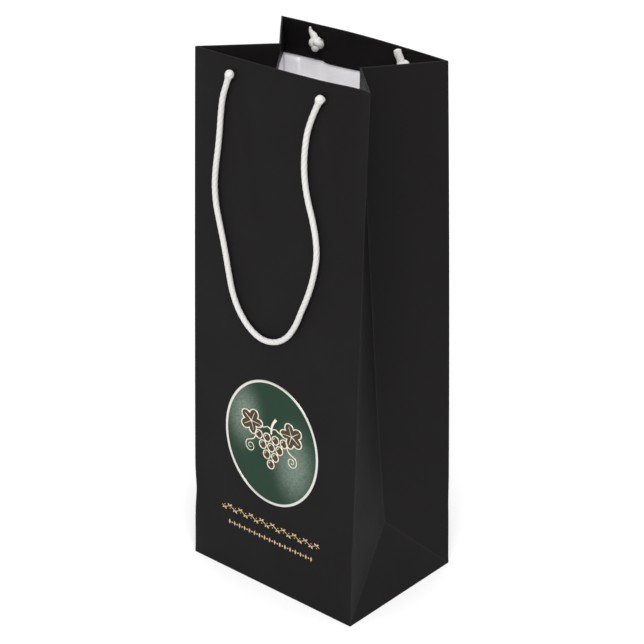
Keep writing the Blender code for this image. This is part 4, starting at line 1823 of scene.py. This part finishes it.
            tendril = smooth_curve(np.vstack([lead, spiral[4:]]), 0.45 * MM)
            foil.append(self.ribbon(tendril, np.linspace(0.34, 0.2, len(tendril)) * MM, 0.12 * MM))
        stem = np.array([(0.0, 5.0), (0.0, 8.0), (0.9, 11.0), (3.0, 14.2)]) * MM
        stem = smooth_curve(stem, 0.5 * MM)
        foil.append(self.ribbon(stem, np.linspace(0.55, 0.85, len(stem)) * MM))
        return foil, ink

    def scroll_row(self) -> list[Grid]:
        """Upper row: a running vine, sine-waved, with a leaf at every crest and a berry in every hollow.

        Returns:
            Its grids.
        """
        height, half = self.upper_row
        base = height - self.middle_z
        pitch = half / 9
        x = np.linspace(-half, half, 260)
        stem = np.column_stack([x, base + 0.85 * MM * np.sin(np.pi * x / pitch)])
        grids = [self.ribbon(stem, 0.24 * MM, 0.08 * MM)]
        for i in range(-9, 9):
            crest = (i + 0.5) * pitch
            up = 1.0 if i % 2 == 0 else -1.0
            root = np.array([crest - 0.5 * MM, base + 0.7 * MM * up])
            grids.append(self.blade(root, root + np.array([2.2, 1.7 * up]) * MM, 1.3 * MM))
            grids.append(self.blade(root, root + np.array([-1.5, 1.6 * up]) * MM, 1.05 * MM))
            grids.append(self.dot(np.array([crest, base - 0.75 * MM * up]), 0.42 * MM))
        return grids

    def bead_row(self) -> list[Grid]:
        """Lower row: upright almonds and round dots by turns.

        Returns:
            Its grids.
        """
        height, half = self.lower_row
        base = height - self.middle_z
        reach = np.array([0.0, 1.7 * MM])
        grids, count = [], 8
        pitch = half / count
        for i in range(-count, count + 1):
            middle = np.array([i * pitch, base])
            grids.append(self.blade(middle - reach, middle + reach, 1.5 * MM))
            if i < count:
                grids.append(self.dot(middle + np.array([pitch / 2, 0.0]), 0.6 * MM))
        return grids

    def build(self, green: bpy.types.Material, silver: bpy.types.Material, gold: bpy.types.Material,
              bronze: bpy.types.Material, pale_gold: bpy.types.Material) -> None:
        """Make, dress and place every printed piece.

        Args:
            green: finish of the disc.
            silver: finish of the ring.
            gold: finish of the two ornament rows.
            bronze: finish of the ink under the motif.
            pale_gold: finish of the motif's lines.
        """
        foil, ink = replace(self, scale=self.motif_scale).vine()
        pieces = (("badge_green_disc", [self.disc()], green, 0.05),
                  ("badge_foil_ring", [self.ring()], silver, 0.08),
                  ("badge_vine_ink", ink, bronze, 0.01), ("badge_vine_foil", foil, pale_gold, 0.03),
                  ("ornament_vine_row", self.scroll_row(), gold, 0.06),
                  ("ornament_bead_row", self.bead_row(), gold, 0.06))
        for name, grids, finish, thickness in pieces:
            obj = mesh_from_grids(name, grids, weld=True)
            thicken(obj, thickness * MM, [finish])
            settle(obj, "bag", "matt_black_paper")


# ---- studio --------------------------------------------------------------------------------------

@dataclass(frozen=True)
class Studio:
    """Camera, floor and soft light."""

    azimuth: float = 41.27
    elevation: float = 24.99
    distance: float = 1.1975
    lens: float = 109.13
    aim_height: float = 0.170
    shift: tuple[float, float] = (0.00107, -0.00376)
    world: float = 0.74

    def camera(self) -> None:
        """Stand the camera at its angle, looking at the bag's middle."""
        a, e = math.radians(self.azimuth), math.radians(self.elevation)
        back = Vector((math.sin(a) * math.cos(e), -math.cos(a) * math.cos(e), math.sin(e)))
        data = bpy.data.cameras.new("camera")
        data.lens = self.lens
        data.sensor_width = 36.0
        data.shift_x, data.shift_y = self.shift
        data.clip_start, data.clip_end = 0.01, 50.0
        camera = bpy.data.objects.new("camera", data)
        camera.location = Vector((0.0, 0.0, self.aim_height)) + back * self.distance
        camera.rotation_euler = back.to_track_quat("Z", "Y").to_euler()
        bpy.context.scene.collection.objects.link(camera)
        bpy.context.scene.camera = camera

    def floor(self) -> None:
        """A wide plain floor."""
        r = np.array([0.0, 0.5, 1.5, 3.0, 5.0, 8.0])[::-1, None]
        a = np.linspace(0.0, 2 * np.pi, 64, endpoint=False)[None]
        points = np.stack([r * np.cos(a), r * np.sin(a), -0.0002 + 0.0 * r * a], axis=-1)
        floor = mesh_from_grids("studio_floor", [Grid(points, wrap_columns=True)], weld=True)
        floor.data.materials.append(FloorPaint().make())

    def light(self, name: str, at: tuple[float, float, float], size: float, power: float) -> None:
        """One square softbox, turned to the bag's middle.

        Args:
            name: the light's name.
            at: where it hangs.
            size: length of its side.
            power: in watts.
        """
        data = bpy.data.lights.new(name, "AREA")
        data.size = size
        data.energy = power
        light = bpy.data.objects.new(name, data)
        light.location = at
        back = Vector(at) - Vector((0, 0, self.aim_height))
        light.rotation_euler = back.to_track_quat("Z", "Y").to_euler()
        bpy.context.scene.collection.objects.link(light)

    def build(self) -> None:
        """Set up world, floor and lights."""
        scene = bpy.context.scene
        world = bpy.data.worlds.new("studio")
        world.use_nodes = True
        sky = world.node_tree.nodes["Background"]
        sky.inputs["Color"].default_value = (1.0, 1.0, 1.0, 1.0)
        sky.inputs["Strength"].default_value = self.world
        scene.world = world
        scene.view_settings.view_transform = "Standard"
        self.floor()
        self.light("key_softbox", (1.70, -1.95, 3.00), 2.4, 110.0)
        self.light("top_softbox", (0.0, 0.0, 2.2), 1.5, 8.0)


# Handle routes seen from the front: across, and down from the swing axis
FRONT_ROUTE = (
    (-0.0358, -0.0029), (-0.0380, -0.0085), (-0.0403, -0.0150), (-0.0419, -0.0244), (-0.0430, -0.0355),
    (-0.0444, -0.0470), (-0.0462, -0.0586), (-0.0472, -0.0700), (-0.0464, -0.0813), (-0.0438, -0.0920),
    (-0.0408, -0.1027), (-0.0380, -0.1136), (-0.0355, -0.1245), (-0.0324, -0.1355), (-0.0270, -0.1458),
    (-0.0181, -0.1547), (-0.0080, -0.1588), (0.0024, -0.1575), (0.0112, -0.1520), (0.0178, -0.1430),
    (0.0232, -0.1310), (0.0285, -0.1180), (0.0321, -0.1052), (0.0337, -0.0936), (0.0327, -0.0829),
    (0.0300, -0.0725), (0.0266, -0.0625), (0.0242, -0.0523), (0.0232, -0.0417), (0.0237, -0.0309),
    (0.0256, -0.0199), (0.0295, -0.0100), (0.0332, -0.0028),
)
BACK_ROUTE = (
    (-0.0357, -0.0029), (-0.0382, -0.0100), (-0.0410, -0.0205), (-0.0428, -0.0320), (-0.0437, -0.0440),
    (-0.0441, -0.0560), (-0.0438, -0.0680), (-0.0428, -0.0800), (-0.0411, -0.0920), (-0.0386, -0.1040),
    (-0.0352, -0.1160), (-0.0306, -0.1275), (-0.0246, -0.1380), (-0.0168, -0.1465), (-0.0075, -0.1512),
    (0.0026, -0.1510), (0.0118, -0.1462), (0.0196, -0.1380), (0.0260, -0.1280), (0.0312, -0.1170),
    (0.0353, -0.1055), (0.0384, -0.0935), (0.0404, -0.0810), (0.0413, -0.0685), (0.0413, -0.0560),
    (0.0405, -0.0435), (0.0391, -0.0310), (0.0372, -0.0190), (0.0356, -0.0090), (0.0348, -0.0031),
)


def main() -> None:
    """Build every piece of the bag in order."""
    logging.basicConfig(level=logging.INFO, format="%(name)s: %(message)s")
    studio = Studio()
    studio.camera()
    form = BagForm.from_frame()
    cord = TwistedCord()
    yarn = CordFibre().make()
    for end, route in ((End.FRONT, FRONT_ROUTE), (End.BACK, BACK_ROUTE)):
        CordHandle(end, form, cord, route, shift=HOLE_SHIFT[end.face]).build(yarn)
    bare = BarePaper("uncoated_white_paper_back").make()
    edge = BarePaper("cut_paper_edge", light="#d8d5d3", dark="#bdb9b6").make()
    sheet = PaperSheet(form)
    sheet.dress(sheet.build(), LaminatedPaper().make(), bare, edge)
    InnerPapers(form).build(GreyBoard().make(), bare)
    badge = FrontPrint(form)
    middle = badge.place(np.zeros((1, 2)), 0.0)[0]
    badge.build(PearlInk(tuple(middle)).make(), StampedFoil("stamped_silver_foil", "#d3d1cc", 0.3).make(),
                StampedFoil("stamped_gold_foil", "#cdb38c", 0.42).make(), InkFill().make(),
                StampedFoil("stamped_champagne_foil", "#e6dfcb", 0.36).make())
    studio.build()


if __name__ == "__main__":
    main()
